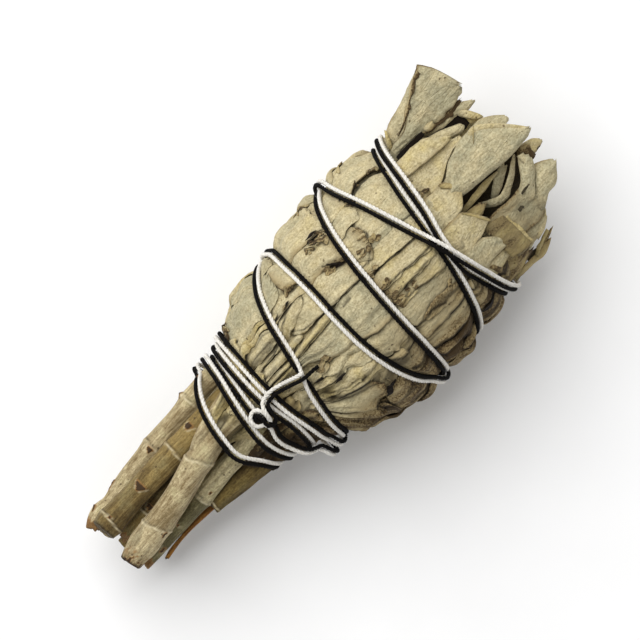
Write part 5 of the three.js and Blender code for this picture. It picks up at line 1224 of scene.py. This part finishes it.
        (37.2, -15, 26.4, -8.1, 29), tone=1.1, bow=0.1, margins=(0.2, 0.1), soil=0.56, dark=0.38, fray=0.1,
        rag=0.05, crumple=0.14),
    leaf((27, -16.8, 18.4, -12.4, 23.6), (31, -17.4, 18.4, -12.8, 24.8), (34, -17.2, 18.6, -12.8, 25.2),
        (36.8, -15.8, 19.8, -13.4, 24.8), tone=0.9, margins=(0.3, 0.2), brown=(0.2, 0.3), crumple=0.4,
        soil=0.6, fray=0.7),
    leaf((31, -17.7, 17.4, -16.2, 19), (34.4, -17.5, 17.4, -16.8, 19), (37, -18.1, 17.6, -17.2, 18.8),
        (39, -17.7, 17.8, -16.8, 18.8), (40.3, -17, 18, -16.5, 18.8), tone=1.0, margins=(0.4, 0.3), rag=0.3,
        brown=(0, 0.4), crumple=0.3, soil=0.2, fray=0.6),
    # a small sheet painted dark: painted shade under the fringe
    leaf((34.8, -17, 18, -16.1, 18.6), (36.2, -17.1, 18, -16, 18.6), (37.9, -16.9, 18, -16.2, 18.4),
        dark=0.9, bow=0, crumple=0),
    leaf((36.4, -17.4, 18.8, -16.8, 19.2), (38, -16.7, 18.9, -15.9, 19.4), (39.7, -16, 19, -15.3, 19.5),
        (41, -15.6, 19, -15.1, 19.4), tone=1.0, bow=0.2, rag=0.4, crumple=0.2, margins=(0.4, 0.1),
        fray=0.5),
    leaf((38.4, -17.2, 18.2, -16, 18.6), (39.6, -16.9, 18.3, -15.8, 18.7), (40.6, -16.3, 18.4, -15.7, 18.7),
        (41.7, -15.8, 18.6, -15.5, 18.8), tone=0.9, bow=0.2, rag=0.5, crumple=0.3, soil=0.45,
        margins=(0.6, 0.6), fray=0.6),
    leaf((46.8, -4.95, 27.9, -2, 28.1), (47.9, -5, 28, -2.1, 28.2), (48.8, -4.8, 27.8, -2.3, 28.1),
        soil=1.2, crumple=0.2, tone=0.8, rag=0.3),
    leaf((49.3, -4.6, 27.7, -4.2, 27.8), (49.8, -4.6, 27.7, -4.1, 27.8), (50.3, -4.5, 27.5, -4.2, 27.6),
        dark=0.9, bow=0, crumple=0),
    # in the dark hollow: first a sheet painted nearly black as painted shade, then the strips over it
    leaf((31, -8, 20, 1.5, 22), (40, -8, 22, 1.5, 23.4), (44, -7.4, 22.6, 1.5, 24), (47, -6, 23, 1, 24.6),
        tone=0.5, dark=0.93, soil=0.4),
    leaf((32, -3.1, 27.4, -2.6, 28), (35.5, -3.05, 27.8, -1.9, 28.6), (38, -3, 27.8, -1.75, 28.7),
        (40, -2.7, 27.8, -1.9, 28.6), (41.8, -2.5, 27.6, -2.1, 28.2), tone=0.7, bow=0.2, soil=0.15,
        margins=(0.2, 0.1)),
    leaf((38, -5.2, 25.4, -4.4, 25.6), (39.4, -5.1, 25.8, -3.4, 26.4), (40.6, -4.6, 26, -2.5, 26.8),
        (42, -3.8, 26.2, -2.1, 27), (43.6, -2.8, 26.6, -1.7, 27.2), tone=0.35, margins=(0.1, 0)),
    leaf((35.8, -4.4, 25.4, -3.4, 26.2), (36.6, -5.4, 26, -4, 27), (37.5, -6.3, 26.4, -4.6, 27.4),
        (39, -6.75, 26.6, -5.25, 27.8), (40.3, -6.55, 26.6, -5.25, 27.8), (41.2, -6.1, 26.8, -4.75, 27.8),
        (42.2, -5.6, 27, -4.2, 28), (43.5, -4.75, 27.2, -3.6, 28.2), (44.6, -3.8, 27.6, -2.7, 28.4),
        (45.8, -2.8, 27.8, -2.2, 28.2), tone=0.35, bow=0.25, margins=(0.15, 0.05)),
    leaf((33, -5.4, 28, -3.1, 28.6), (34.6, -5.6, 28, -3.3, 28.8), (35.6, -5.2, 27.8, -3.5, 28.6),
        (36.4, -4.6, 27.4, -3.9, 27.8), tone=0.9, margins=(0.4, 0.3), brown=(0, 0.4), fray=0.5, soil=0.15),
    # a second edge under the olive leaf
    leaf((33, -14, 25.9, -8.4, 28.9), (35, -14.6, 26.1, -8.4, 29.1), (37.7, -14.8, 26.2, -8.6, 28.8),
        tone=0.8, bow=0.12, crumple=0.14, rag=0.05, fray=0.2, soil=0.12),
    # the rolled margin of the large flat one, and a crack in it
    leaf((41, 4.6, 31, 5.6, 31), (43.6, 5.2, 32, 6.3, 31.7), (45, 4.7, 32, 6, 31.6),
        (46.5, 3.6, 31.95, 4.8, 31.5), (48, 2, 31.85, 3.15, 31.4), (49.5, 0.2, 31.6, 1.25, 31.2),
        (50.6, -0.9, 31.3, -0.3, 31.1), tone=0.75, bow=0.26, crumple=0.08, margins=(0.1, 0), rag=0.05,
        veins=0),
    leaf((42.3, 3.9, 32.3, 4.15, 32.35), (43.3, 4.9, 32.3, 5.2, 32.3), (44.4, 5.85, 32.1, 6.1, 32),
        soil=0.8, tone=1.0, bow=0.04, crumple=0.04, rag=0.4),
    # dry yellow edges of two leaf ends
    leaf((33, 2.7, 1.5, 3.4, 1.5), (33.8, 2.1, 1.85, 3.3, 1.8), (34.6, 1.2, 1.9, 2.9, 1.8),
        (35.2, 0.4, 1.9, 1.6, 1.9), tone=1.2, bow=0.15, margins=(0.2, 0.5), rag=0.5, fray=0.5, soil=0.22,
        crumple=0.2, overSkin=True),
    leaf((32.3, -3, 1.1, -2.5, 1.1), (33.3, -4.6, 1.35, -3.5, 1.3), (34.2, -6.1, 1.5, -5, 1.4),
        (34.9, -7, 1.5, -6.4, 1.4), tone=1.2, bow=0.12, margins=(0.1, 0.3), rag=0.3, soil=0.1, crumple=0.15,
        overSkin=True),
]

# Free leaves at the tips, as points (x, y, z, half width). The side is the way that the width points.
tipLeaves = [
    leaf((34, 10.2, 26.4, 1.5), (38, 9.4, 28.2, 1.6), (41.4, 8.2, 28.8, 1.5), (43.7, 7.3, 28.4, 1.25),
        side=(0, 1, 0), curl=(-110, -110), tone=0.35, ends=(2, 0.5)),
    # rims of curled leaves in the hollow
    leaf((30, 1, 18, 2.8), (38, 1.4, 21.6, 3), (46, 2, 23, 1.6), side=(0, 1, 0.2), curl=(20, 30), tone=0.3),
    leaf((30, 6, 20, 2.4), (38, 6.6, 23, 2.8), (46.4, 7.2, 24.4, 1.4), side=(0, 1, 0.4), curl=(30, 20)),
    # deeper and underneath
    leaf((29, 9, 16, 3), (38, 10.6, 18, 3.4), (46.6, 12.2, 19.6, 1.6), side=(0, -0.4, 1), curl=(20, 10),
        tone=0.3),
    leaf((28, 13, 19, 3), (36, 14.6, 20.6, 3.2), (44.6, 15.6, 21, 1.4), side=(0, -0.3, 1), curl=(10, 25)),
    leaf((28, -10, 14, 3), (37, -12.6, 14.6, 3.4), (44.8, -11.6, 13.4, 1.6), side=(0, 0.3, 1),
        curl=(20, 10), tone=0.45),
    leaf((27, 10, 9, 3.4), (37, 11.4, 8, 3.8), (45.6, 11.4, 8.8, 1.6), side=(0, -1, 0.7), curl=(14, 20),
        tone=0.3),
    leaf((27, 2, 6.6, 3.6), (38, 2.2, 4.6, 4), (48, 1.4, 6, 1.6), side=(0, -1, 0.05), curl=(16, 14),
        tone=0.35),
    leaf((27, -6, 7, 3.4), (37, -7.4, 5.2, 3.8), (46.4, -7.4, 6.4, 1.6), side=(0, -1, -0.3), curl=(12, 22)),
    leaf((29, -2, 11.6, 3), (39, -2.4, 11.4, 3.2), (47.4, -1.6, 12.4, 1.4), side=(0, -0.9, 0.5),
        curl=(30, 20), tone=0.3),
    leaf((29, 6, 12.6, 3), (38, 6.4, 12.4, 3.2), (46, 7.4, 13.4, 1.4), side=(0, -0.9, -0.3), curl=(24, 30),
        tone=0.45),
    leaf((28, -13, 9.6, 2.8), (36, -13.6, 9, 3), (43, -13, 9.6, 1.4), side=(0, 0.7, 0.8), curl=(20, 24),
        tone=0.5),
    leaf((28, 14, 13.6, 2.8), (36, 14.8, 13.6, 3), (43.6, 15, 14.6, 1.4), side=(0, 0.1, 1), curl=(20, 24),
        tone=0.35),
    leaf((30, -7, 17, 2.6), (39, -8, 17.6, 3), (46, -8.4, 18.4, 1.4), side=(0, 0.8, 0.7), curl=(30, 20),
        tone=0.35),
    leaf((30, 2, 15.6, 2.6), (40, 2.4, 16.4, 3), (47.6, 2.6, 17.4, 1.4), side=(0, 1, -0.3), curl=(30, 30),
        tone=0.3),
    leaf((29, 10.6, 22, 2.4), (37, 11.4, 24, 2.6), (44, 12.2, 24.6, 1.6), side=(0, 1, -0.5), curl=(20, 30),
        tone=0.45),
    leaf((30, -11, 20, 2.6), (37, -11.8, 22.4, 2.8), (43, -11.4, 22.6, 1.4), side=(0, 1, -0.2),
        curl=(24, 30), tone=0.5),
]


def freeLeaf(seed, points, side, curl, tone=0.4, ends=(2.0, 2.2)):  # a leaf along its spine
    cell, thickness, rib = 0.4, 0.3, 0.05
    curve = throughPoints(np.array(points, dtype=float), 200)
    run = runOf(curve[:, :3])
    want = np.linspace(0, run[-1], int(round(run[-1] / cell)) + 1)
    line = np.stack([np.interp(want, run, curve[:, k]) for k in range(4)], axis=-1)
    along = unit(np.gradient(line[:, :3], axis=0))
    wide = unit(side - along * (along @ side)[:, None])
    face = np.cross(along, wide)
    widest = float(line[:, 3].max())
    v = acrossLeaf(max(9, 2 * int(round(widest / cell)) + 1))
    turn = np.radians(np.where(v < 0, curl[0], curl[1])) * np.abs(v)
    halfway = (turn[1:] + turn[:-1]) / 2
    sign = np.where((v[1:] + v[:-1]) < 0, -1, 1)
    flat, raised = (np.concatenate([[0], np.cumsum(np.diff(v) * part)]) for part in (
        np.cos(halfway), np.sin(halfway) * sign))
    flat, raised = (shape - shape[len(v) // 2] for shape in (flat, raised))
    U, V = np.meshgrid(want, v, indexing="ij")
    arc, margin = V * widest, np.sign(V)
    ragged = patchNoise(U / 1.6, margin * 5.5, seed) + 0.5 * patchNoise(U / 0.5, margin * 2.5, seed + 1)
    reach = (line[:, 3] * rounded(want, run[-1] - want, ends, 0.03))[:, None]
    reach = reach + 0.12 * ragged * np.abs(V) ** 3
    crumpled = patchNoise(U / 3.2, arc / 1.6, seed + 3) + 0.6 * patchNoise(U / 1.3, arc / 0.8, seed + 4)
    ripple = 0.3 * np.abs(V) ** 1.6 * patchNoise(U / 3.6, margin * 9.1, seed + 2) + 0.14 * crumpled
    ribShape = np.exp(-(arc / 0.35) ** 2)
    inward = np.sin(turn * np.sign(v))[None, :, None] * wide[:, None]
    lean = np.cos(turn)[None, :, None] * face[:, None] - inward
    centre = (line[:, None, :3] + (flat * reach)[..., None] * wide[:, None]
              + (raised * reach + ripple)[..., None] * face[:, None])
    rim = rimOf(V, 6, 0.3, np.minimum(U, run[-1] - U), 0.3, 1.0)
    masks = {
        "tone": tone + 0.12 * patchNoise(U / 5, arc / 3, seed + 6),
        "brown": atMargins((0.1, 0.1), V, widest, 0.9),
        "vein": ribShape * min(1, rib * 6),
        # painted shade: darker towards the leaf's start inside the bundle
        "creviceShade": 0.55 * (1 - smoothstep(U, 0, 7)),
    }
    return dict(upper=centre + lean * (thickness / 2 * rim + rib * ribShape)[..., None],
                lower=centre - lean * (thickness / 2 * rim)[..., None], masks=masks)


def marginLeaf(seed, points, tone=0.4, bow=0.3, margins=(0.1, 0.1), brown=(0, 0), rag=0.12, crumple=0.22,
               roll=0.0, veins=0.5, overSkin=False, dark=0.0, soil=0.0, fray=0.3):
    # A leaf between two margins. Its roll turns the low margin under, margins are their stains, and with
    # overSkin each z is a lift over the skin.
    cell, thickness = 0.34, 0.24
    table = np.array(points, dtype=float)
    for y, z in ((1, 2), (3, 4)) if overSkin else ():
        degrees = angleOf(table[:, 0], table[:, y], 0)
        table[:, z] = skinPoint(table[:, 0], degrees, table[:, z])[:, 2]
    length = table[-1, 0] - table[0, 0]
    x = np.linspace(table[0, 0], table[-1, 0], int(round(length / cell)) + 1)
    lines = []
    for column in range(1, 5):
        values = np.interp(x, table[:, 0], table[:, column])
        padded = np.concatenate([2 * values[0] - values[2:0:-1], values, 2 * values[-1] - values[-2:-4:-1]])
        lines.append(np.convolve(padded, np.array([1, 2, 3, 2, 1]) / 9, mode="valid"))
    low, high = (np.stack([x, *pair], axis=-1) for pair in (lines[:2], lines[2:]))
    widest = float(np.max(np.linalg.norm(high - low, axis=1))) / 2
    v = acrossLeaf(max(9, 2 * int(round(widest / cell)) + 1), 0.5)
    U, V = np.meshgrid(x, v, indexing="ij")
    fromStart, fromEnd = U - x[0], x[-1] - U
    arc, side = V * widest, np.sign(V)
    ragged = patchNoise(U / 1.5, side * 5.5, seed) + 0.6 * patchNoise(U / 0.5, side * 2.5, seed + 1)
    share = ((V + 1) / 2 + rag * ragged * np.abs(V) ** 3 * side / (2 * widest))[..., None]
    along = unit(np.gradient((low + high) / 2, axis=0))
    face = unit(np.cross(along, unit(high - low)))
    frayed = patchNoise(arc / 0.8, 4.0, seed + 2) + 0.5 * patchNoise(arc / 0.3, 8.0, seed + 3)
    sheet = low[:, None] * (1 - share) + high[:, None] * share
    sheet = sheet + (frayed * atEnds((0, fray), fromStart, fromEnd, 2, 2))[..., None] * along[:, None]
    folds = patchNoise(U / 3.4, arc / 2.0, seed + 4) + 0.5 * patchNoise(U / 1.3, arc / 0.9, seed + 5)
    folds = folds - 0.35 * np.abs(patchNoise(U / 4.0, arc / 1.1, seed + 7))
    height = bow * (1 - V ** 2) + crumple * folds - roll * clamp(1 - (arc + widest) / 1.3) ** 2
    half = thickness / 2 * rimOf(V, 8, 0.3, np.minimum(fromStart, fromEnd), 0.35, 0.8)
    vein = veins * sideVeins(U, arc, 0.8, 2.0)
    # Brown mask: real stains, plus soil, which is partly painted shade. Painted shade: darker towards the
    # leaf's start inside the bundle, and wherever dark is given.
    stainAndShade = atEnds(brown, fromStart, fromEnd, 2.4) + atMargins(margins, V, widest, 0.6)
    shaded = 0.45 * (1 - smoothstep(fromStart, 0, min(3.5, 0.4 * length)))
    masks = {
        "tone": tone + 0.2 * patchNoise(U / 5, arc / 2.4, seed + 6),
        "brown": stainAndShade + soiled(U, arc, soil, seed + 9),
        "vein": vein,
        "creviceShade": np.maximum(shaded, dark),
    }
    return dict(upper=sheet + (height + half + 0.05 * vein)[..., None] * face[:, None],
                lower=sheet + (height - half)[..., None] * face[:, None], masks=masks)


freeSheets = [freeLeaf(seed=3000 + 29 * i, **row) for i, row in enumerate(tipLeaves)]
freeSheets += [marginLeaf(seed=5000 + 31 * i, **row) for i, row in enumerate(marginLeaves)]
for sheet in freeSheets:
    middle = sheet["upper"][len(sheet["upper"]) // 2].mean(axis=0)
    _, angle = liftOf(middle[None])
    wedges[wedgeOf(float(angle[0]))].append(sheet)


def darkInside():  # the closed middle that is seen only in gaps between leaves, browned and painted dark as painted shade
    X, A = np.meshgrid(np.arange(-27, 37.5, 0.8), np.arange(0, 360, 6), indexing="ij")
    end = np.sqrt(clamp((X + 27.4) / 3)) * np.sqrt(clamp((37.4 - X) / 5))
    yMid, zMid, a, b = oval(X)
    lift, turn = coreLift(X), np.radians(A)
    Y, Z = yMid + (a + lift) * end * np.cos(turn), zMid + (b + lift) * end * np.sin(turn)
    grid = np.stack([X, Y, Z], axis=-1)
    hubs = [(X[i, 0] + step, yMid[i, 0], zMid[i, 0]) for i, step in ((0, -0.2), (-1, 0.2))]
    points, quads = closedSleeve(grid, hubs)
    masks = {"tone": 0.8, "brown": 0.6, "creviceShade": 0.8, "vein": 0.0}
    masks = {label: np.full(len(points), value) for label, value in masks.items()}
    return makeMesh("pressed_inside", points, quads, masks, sageLeaf)


inside = darkInside()
leafPieces = [packSheets(f"sage_leaves_{i + 1}", sheets, sageLeaf) for i, sheets in enumerate(wedges)]
print("stage 7: leaf pieces", [len(piece.data.polygons) * 2 for piece in leafPieces])


# Stems

def stemMesh(name, material, seed, points, rings=(), scars=(), groove=0.1, cut=0.2, rough=0.2, torn=0,
             edge=0, specks=0, flat=1, tone=((-60, 0.5), (60, 0.5)), around=64):
    # The cut is the slope of the cut face and rough its jags, torn is the length of its brown rim, and edge
    # how dark the rim is painted, as painted shade.
    curve = throughPoints(np.array(points, dtype=float)[:, :3], 300)
    run = runOf(curve)
    want = np.linspace(0, run[-1], int(round(run[-1] / 0.32)) + 1)
    line = np.stack([np.interp(want, run, curve[:, k]) for k in range(3)], axis=-1)
    want = want[:, None]
    along = unit(np.gradient(line, axis=0))
    wide = unit(np.array([0, 1.0, 0]) - along * along[:, 1:2])
    face = np.cross(along, wide)
    radius = between(points, line[:, 0], 3)[:, None]
    X, T = np.meshgrid(line[:, 0], np.radians(np.arange(around) * 360 / around), indexing="ij")
    cosine, sine = np.cos(T), np.sin(T)
    size, pale, dark, brown = radius + 0 * T, 0 * T, 0 * T, 0 * T
    for x, slant in rings:
        off = X - x - slant * cosine - 0.15 * patchNoise(cosine * 3, sine * 3, seed + 6)
        size = size + 0.16 * np.exp(-(off / 1.3) ** 2) + 0.13 * np.exp(-(off / 0.24) ** 2)
        pale = pale + np.exp(-(off / 0.16) ** 2)
        # painted shade just past each joint
        dark = dark + 0.45 * np.exp(-((off - 0.42) / 0.18) ** 2)
    arc = (T / 2 / math.pi + 0.25) % 1  # 0 at the underside
    seamless = smoothstep(np.minimum(arc, 1 - arc), 0, 0.06)
    ribs = 5.5 * float(radius.max())
    fluting = patchNoise(X / 14, arc * ribs, seed) + 0.5 * patchNoise(X / 8, arc * ribs * 2.2, seed + 1)
    cracks = clamp(1 - np.abs(patchNoise(X / 17, arc * ribs * 1.5, seed + 7)) / 0.2) * seamless
    cracks = cracks * smoothstep(patchNoise(X / 7, arc * 6, seed + 9), -0.1, 0.3)
    size = size + groove * (fluting * seamless - 1.1 * cracks)
    # the cracks are painted darker, as painted shade
    dark = dark + 0.42 * cracks
    size = size + 0.1 * patchNoise(X / 4.5, cosine * 1.5 + 3 * sine, seed + 2)
    for x, degrees, length, height, lift in scars:
        share = (X - x) / length + 0.5  # 0 at the point, which is to the left, 1 at the wide end
        turned = (T - math.radians(degrees) + math.pi) % (2 * math.pi) - math.pi
        beside = np.abs(turned * radius + 0.3 * patchNoise(X / 0.8, T * 2, seed + 12))
        beside = beside + 0.2 * patchNoise(X / 0.35, T * 7, seed + 3)
        half = height / 2 * clamp(share) ** 0.8
        within = clamp(share / 0.15) * clamp((1.1 - share) / 0.15)
        spot = clamp((half - beside) / 0.3 + 0.5) * within
        size = size + lift * spot * (0.4 + 0.8 * clamp(share))
        brown = brown + 1.1 * spot
        pale = pale + 0.6 * np.exp(-((beside - half - 0.3) / 0.2) ** 2) * within
    jag = rough * patchNoise(cosine[0] * 2.4, sine[0] * 2.4, seed + 4)
    slope = (cut * (0.5 + 0.5 * sine[0]) + jag) * clamp(1 - want / 4)
    # the rim at the cut end is painted darker, as painted shade
    dark = dark + edge * clamp(1.3 - want / 0.5)
    pitted = clamp(3 * (patchNoise(X / 0.5, T * 5, seed + 11) - 0.12)) * clamp(1.2 - want / 2.6)
    brown = brown + specks * pitted
    if torn:
        frayed = torn * (1 + 0.7 * patchNoise(cosine * 2.2, sine * 2.2, seed + 8))
        brown = brown + 0.6 * clamp((frayed - want) / 0.4)
    body = (line[:, None] + slope[..., None] * along[:, None] + (size * cosine)[..., None] * wide[:, None]
            + (size * sine * flat)[..., None] * face[:, None])
    middle = body[0].mean(axis=0)
    shares = (0.15, 0.35, 0.55, 0.75, 0.9, 0.97)
    caps = []
    for share in shares:
        sunk = 0.14 * patchNoise(cosine[0] * share * 4, sine[0] * share * 4, seed + 5) + 0.1 * (1 - share)
        caps.append(middle + (body[0] - middle) * share + along[0] * sunk[:, None])
    tail = [line[-1] + (body[-1] - line[-1]) * share + along[-1] * 0.3 * (1 - share)
            for share in (0.7, 0.35)]
    grid = np.array(caps + list(body) + tail)
    meshPoints, quads = closedSleeve(grid, [caps[0].mean(axis=0), tail[-1].mean(axis=0)])

    def spread(values, first, last):  # a mask over the cut face, the sleeve and the hidden end
        rim = np.full((len(shares), around), first)
        return np.concatenate([np.vstack([rim, values, np.full((2, around), last)]).ravel(), [first, last]])

    masks = {
        "tone": spread(between(tone, X, 1), 0.5, 0.5), "brown": spread(brown, 0.35 if torn else 0.0, 0.0),
        # painted shade: the stems darken where they run in under the leaves, and the hidden end is dark
        "creviceShade": spread(np.maximum(dark, 0.75 * smoothstep(X, -19, -8)), 0.0, 1.0),
        "vein": spread(pale, 0.0, 0.0), "cutFace": spread(0 * T, 1.0, 0.0),
    }
    return makeMesh(name, meshPoints, quads, masks, material)


stemLooks = {
    "sprig_1_stem": khakiBark, "sprig_2_stem": oliveBark, "sprig_3_stem": khakiBark,
    "sprig_4_stem": greenishShadedBark, "sprig_5_stem": oliveBark, "sprig_6_stem": khakiBark,
    "sprig_7_stem": oliveBark,
}
otherStalks = {
    "side_shoot": dict(material=khakiBark, points=sideShoot, groove=0.08),
    "dry_leaf_stalk": dict(material=dryStalkBark, points=dryStalk, groove=0.2, flat=0.72, cut=0.6,
                           rings=[(-33.6, 0)]),
    "bark_splinter": dict(material=splinterBark, points=barkSplinter, groove=0.06, rough=0.3, flat=0.7),
}
stemPieces = {}
for i, (name, stem) in enumerate(stemTable.items()):
    stemPieces[name] = stemMesh("visual_" + name, stemLooks[name], seed=60 + 7 * i, **stem)
for i, (name, stalk) in enumerate(otherStalks.items()):
    stemPieces[name] = stemMesh("visual_" + name, seed=140 + 10 * i, around=40, **stalk)
print("stage 8: stems")


# Twine strands, three plies each

yarn = {
    "plies": 3, "plyRadius": 0.205, "offset": 0.19, "pitch": 2.3, "step": 0.36, "sides": 6,
    "fuzzDensity": 1.1e6, "fuzzLength": 0.55, "fuzzRadius": 0.014, "fuzzLean": 1.1, "fuzzScales": (0.4, 1.3),
}


def yarnTree():
    tree = bpy.data.node_groups.new("twisted yarn", "GeometryNodeTree")
    tree.interface.new_socket(name="Geometry", in_out="INPUT", socket_type="NodeSocketGeometry")
    for label, value in (
            ("Ply Radius", yarn["plyRadius"] * metres), ("Offset", yarn["offset"] * metres),
            ("Pitch", yarn["pitch"] * metres), ("Step", yarn["step"] * metres),
            ("Fuzz Density", yarn["fuzzDensity"]), ("Fuzz Length", yarn["fuzzLength"] * metres)):
        socket = tree.interface.new_socket(name=label, in_out="INPUT", socket_type="NodeSocketFloat")
        socket.default_value = value
    tree.interface.new_socket(name="Material", in_out="INPUT", socket_type="NodeSocketMaterial")
    tree.interface.new_socket(name="Geometry", in_out="OUTPUT", socket_type="NodeSocketGeometry")
    nodes = Nodes(tree)
    given = nodes.place("NodeGroupInput").outputs
    route = nodes.place("GeometryNodeResampleCurve", {"Curve": given["Geometry"], "Length": given["Step"]},
                        mode="LENGTH").outputs[0]
    along = nodes.place("GeometryNodeSplineParameter").outputs["Length"]
    angle = nodes.calculate("MULTIPLY", nodes.calculate("DIVIDE", along, given["Pitch"]), 2 * math.pi)
    normal = nodes.place("GeometryNodeInputNormal").outputs[0]
    sideways = nodes.vector("CROSS_PRODUCT", nodes.place("GeometryNodeInputTangent").outputs[0], normal)
    profile = nodes.place("GeometryNodeCurvePrimitiveCircle", {
        "Resolution": yarn["sides"], "Radius": given["Ply Radius"]}).outputs[0]
    plies = nodes.place("GeometryNodeJoinGeometry")
    for ply in range(yarn["plies"]):
        phase = nodes.calculate("ADD", angle, ply * 2 * math.pi / yarn["plies"])
        parts = []
        for operation, direction in (("COSINE", normal), ("SINE", sideways)):
            amount = nodes.calculate("MULTIPLY", nodes.calculate(operation, phase), given["Offset"])
            parts.append(nodes.vector("SCALE", direction, amount))
        offset = nodes.vector("ADD", *parts)
        moved = nodes.place("GeometryNodeSetPosition", {"Geometry": route, "Offset": offset})
        tube = nodes.place("GeometryNodeCurveToMesh", {
            "Curve": moved.outputs[0], "Profile Curve": profile, "Fill Caps": True})
        nodes.feed(plies.inputs[0], tube.outputs[0])
    spots = nodes.place("GeometryNodeDistributePointsOnFaces", {
        "Mesh": plies.outputs[0], "Density": given["Fuzz Density"], "Seed": 5}).outputs
    fibre = nodes.place("GeometryNodeMeshCone", {
        "Vertices": 3, "Radius Top": 0.0, "Radius Bottom": yarn["fuzzRadius"] * metres,
        "Depth": given["Fuzz Length"]}).outputs["Mesh"]
    leans = {0: (-yarn["fuzzLean"],) * 3, 1: (yarn["fuzzLean"],) * 3, "Seed": 3}
    lean = nodes.place("FunctionNodeRandomValue", leans, data_type="FLOAT_VECTOR").outputs[0]
    turned = nodes.place("FunctionNodeRotateRotation", {0: spots["Rotation"], 1: lean}).outputs[0]
    scales = {2: yarn["fuzzScales"][0], 3: yarn["fuzzScales"][1], "Seed": 8}
    scale = nodes.place("FunctionNodeRandomValue", scales, data_type="FLOAT").outputs[1]
    fuzz = nodes.place("GeometryNodeInstanceOnPoints", {
        "Points": spots["Points"], "Instance": fibre, "Rotation": turned, "Scale": scale})
    both = nodes.place("GeometryNodeJoinGeometry", {0: plies.outputs[0]})
    nodes.feed(both.inputs[0], fuzz.outputs[0])
    realised = nodes.place("GeometryNodeRealizeInstances", {0: both.outputs[0]}).outputs[0]
    dressed = nodes.place("GeometryNodeSetMaterial", {"Geometry": realised, "Material": given["Material"]})
    nodes.place("NodeGroupOutput", {"Geometry": dressed.outputs[0]})
    return tree


twistedYarn = yarnTree()


def makeStrand(name, points, material):
    data = bpy.data.curves.new(name + "_route", "CURVE")
    data.dimensions = "3D"
    spline = data.splines.new("POLY")
    spline.points.add(len(points) - 1)
    placed = np.column_stack([(points + bundlePlace) * metres, np.ones(len(points))])
    spline.points.foreach_set("co", placed.astype(np.float32).ravel())
    carrier = putIn(name + "_route", data)
    modifier = carrier.modifiers.new("twisted yarn", "NODES")
    modifier.node_group = twistedYarn
    for item in twistedYarn.interface.items_tree:
        if item.in_out == "INPUT" and item.name == "Material":
            modifier[item.identifier] = material
    graph = bpy.context.evaluated_depsgraph_get()
    mesh = bpy.data.meshes.new_from_object(carrier.evaluated_get(graph), depsgraph=graph)
    mesh.name = name
    carrier.modifiers.remove(modifier)
    bpy.data.objects.remove(carrier)
    mesh.polygons.foreach_set("use_smooth", np.full(len(mesh.polygons), True))
    return putIn(name, mesh)


whiteEnd = wound["run"] <= wound["run"][-1] - twine["whiteShorter"]
blackStrand = makeStrand("black_strand", wound["black"], blackCotton)
whiteStrand = makeStrand("white_strand", wound["white"][whiteEnd], whiteCotton)
print("stage 9: twine", len(blackStrand.data.polygons), len(whiteStrand.data.polygons))


# What each piece stands for: all join the root body, and the model parts that they replace are hidden, save
# the side shoot
for i, piece in enumerate(leafPieces):
    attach(piece, "root")
    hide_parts(f"sprig_{i + 1}_leaves")
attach(inside, "root")
for name, piece in stemPieces.items():
    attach(piece, "root")
    if name != "side_shoot":
        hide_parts(name)
for piece, node, slot in ((blackStrand, "twine_black_strand", "black_cotton"),
                          (whiteStrand, "twine_white_strand", "white_cotton")):
    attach(piece, "root")
    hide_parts(node)


# Floor, lights and camera

studio = {
    "floorHalf": 1.5, "floorDark": (0.93, 0.93, 0.93), "floorLight": (0.96, 0.96, 0.96), "sky": 0.46,
    "lampAt": (0.08, 0.72, 1.08), "lampTowards": (0, 0, 0.015), "lampSize": 1.3, "lampPower": 17.8,
}


def makeFloor():
    half = studio["floorHalf"]
    mesh = bpy.data.meshes.new("floor")
    corners = [(-half, -half, 0), (half, -half, 0), (half, half, 0), (-half, half, 0)]
    mesh.from_pydata(corners, [], [(0, 1, 2, 3)])
    material, nodes = newMaterial("pale floor")
    grain = nodes.noise(nodes.place("ShaderNodeTexCoord").outputs["Object"], 40.0, 3.0)["Fac"]
    colour = nodes.ramp([(0.3, studio["floorDark"]), (0.7, studio["floorLight"])], grain)
    looks = {"Base Color": colour, "Roughness": 0.9, "Specular IOR Level": 0.1}
    shader = nodes.place("ShaderNodeBsdfPrincipled", looks)
    nodes.place("ShaderNodeOutputMaterial", {0: shader.outputs[0]})
    mesh.materials.append(material)
    floor = putIn("floor", mesh)


makeFloor()

lamp = bpy.data.lights.new("key", "AREA")
lamp.shape = "SQUARE"
lamp.size = studio["lampSize"]
lamp.energy = studio["lampPower"]
lampObject = putIn("key", lamp)
lampObject.location = studio["lampAt"]
ray = Vector(studio["lampTowards"]) - Vector(studio["lampAt"])
lampObject.rotation_euler = ray.to_track_quat("-Z", "Y").to_euler()

world = bpy.data.worlds.new("studio")
world.use_nodes = True
background = world.node_tree.nodes["Background"].inputs
background["Color"].default_value = (1.0, 1.0, 1.0, 1)
background["Strength"].default_value = studio["sky"]
bpy.context.scene.world = world
bpy.context.scene.view_settings.view_transform = "Standard"

# The camera looks straight down on the middle of the view. The picture is as wide as the view at the level.
view = {
    "middle": (2.63, 2.29), "turn": -46.43, "width": 110.7, "level": 17.0, "distance": 900.0, "sensor": 36.0,
}
camera = bpy.data.cameras.new("camera")
camera.sensor_width = view["sensor"]
camera.lens = view["sensor"] * view["distance"] / view["width"]
camera.clip_end = 10
cameraObject = putIn("camera", camera)
cameraObject.location = (
    (view["middle"][0] + bundlePlace[0]) * metres, (view["middle"][1] + bundlePlace[1]) * metres,
    (view["level"] + view["distance"]) * metres,
)
cameraObject.rotation_euler = (0, 0, math.radians(view["turn"]))
bpy.context.scene.camera = cameraObject
print("stage 10: stage, lights and camera")
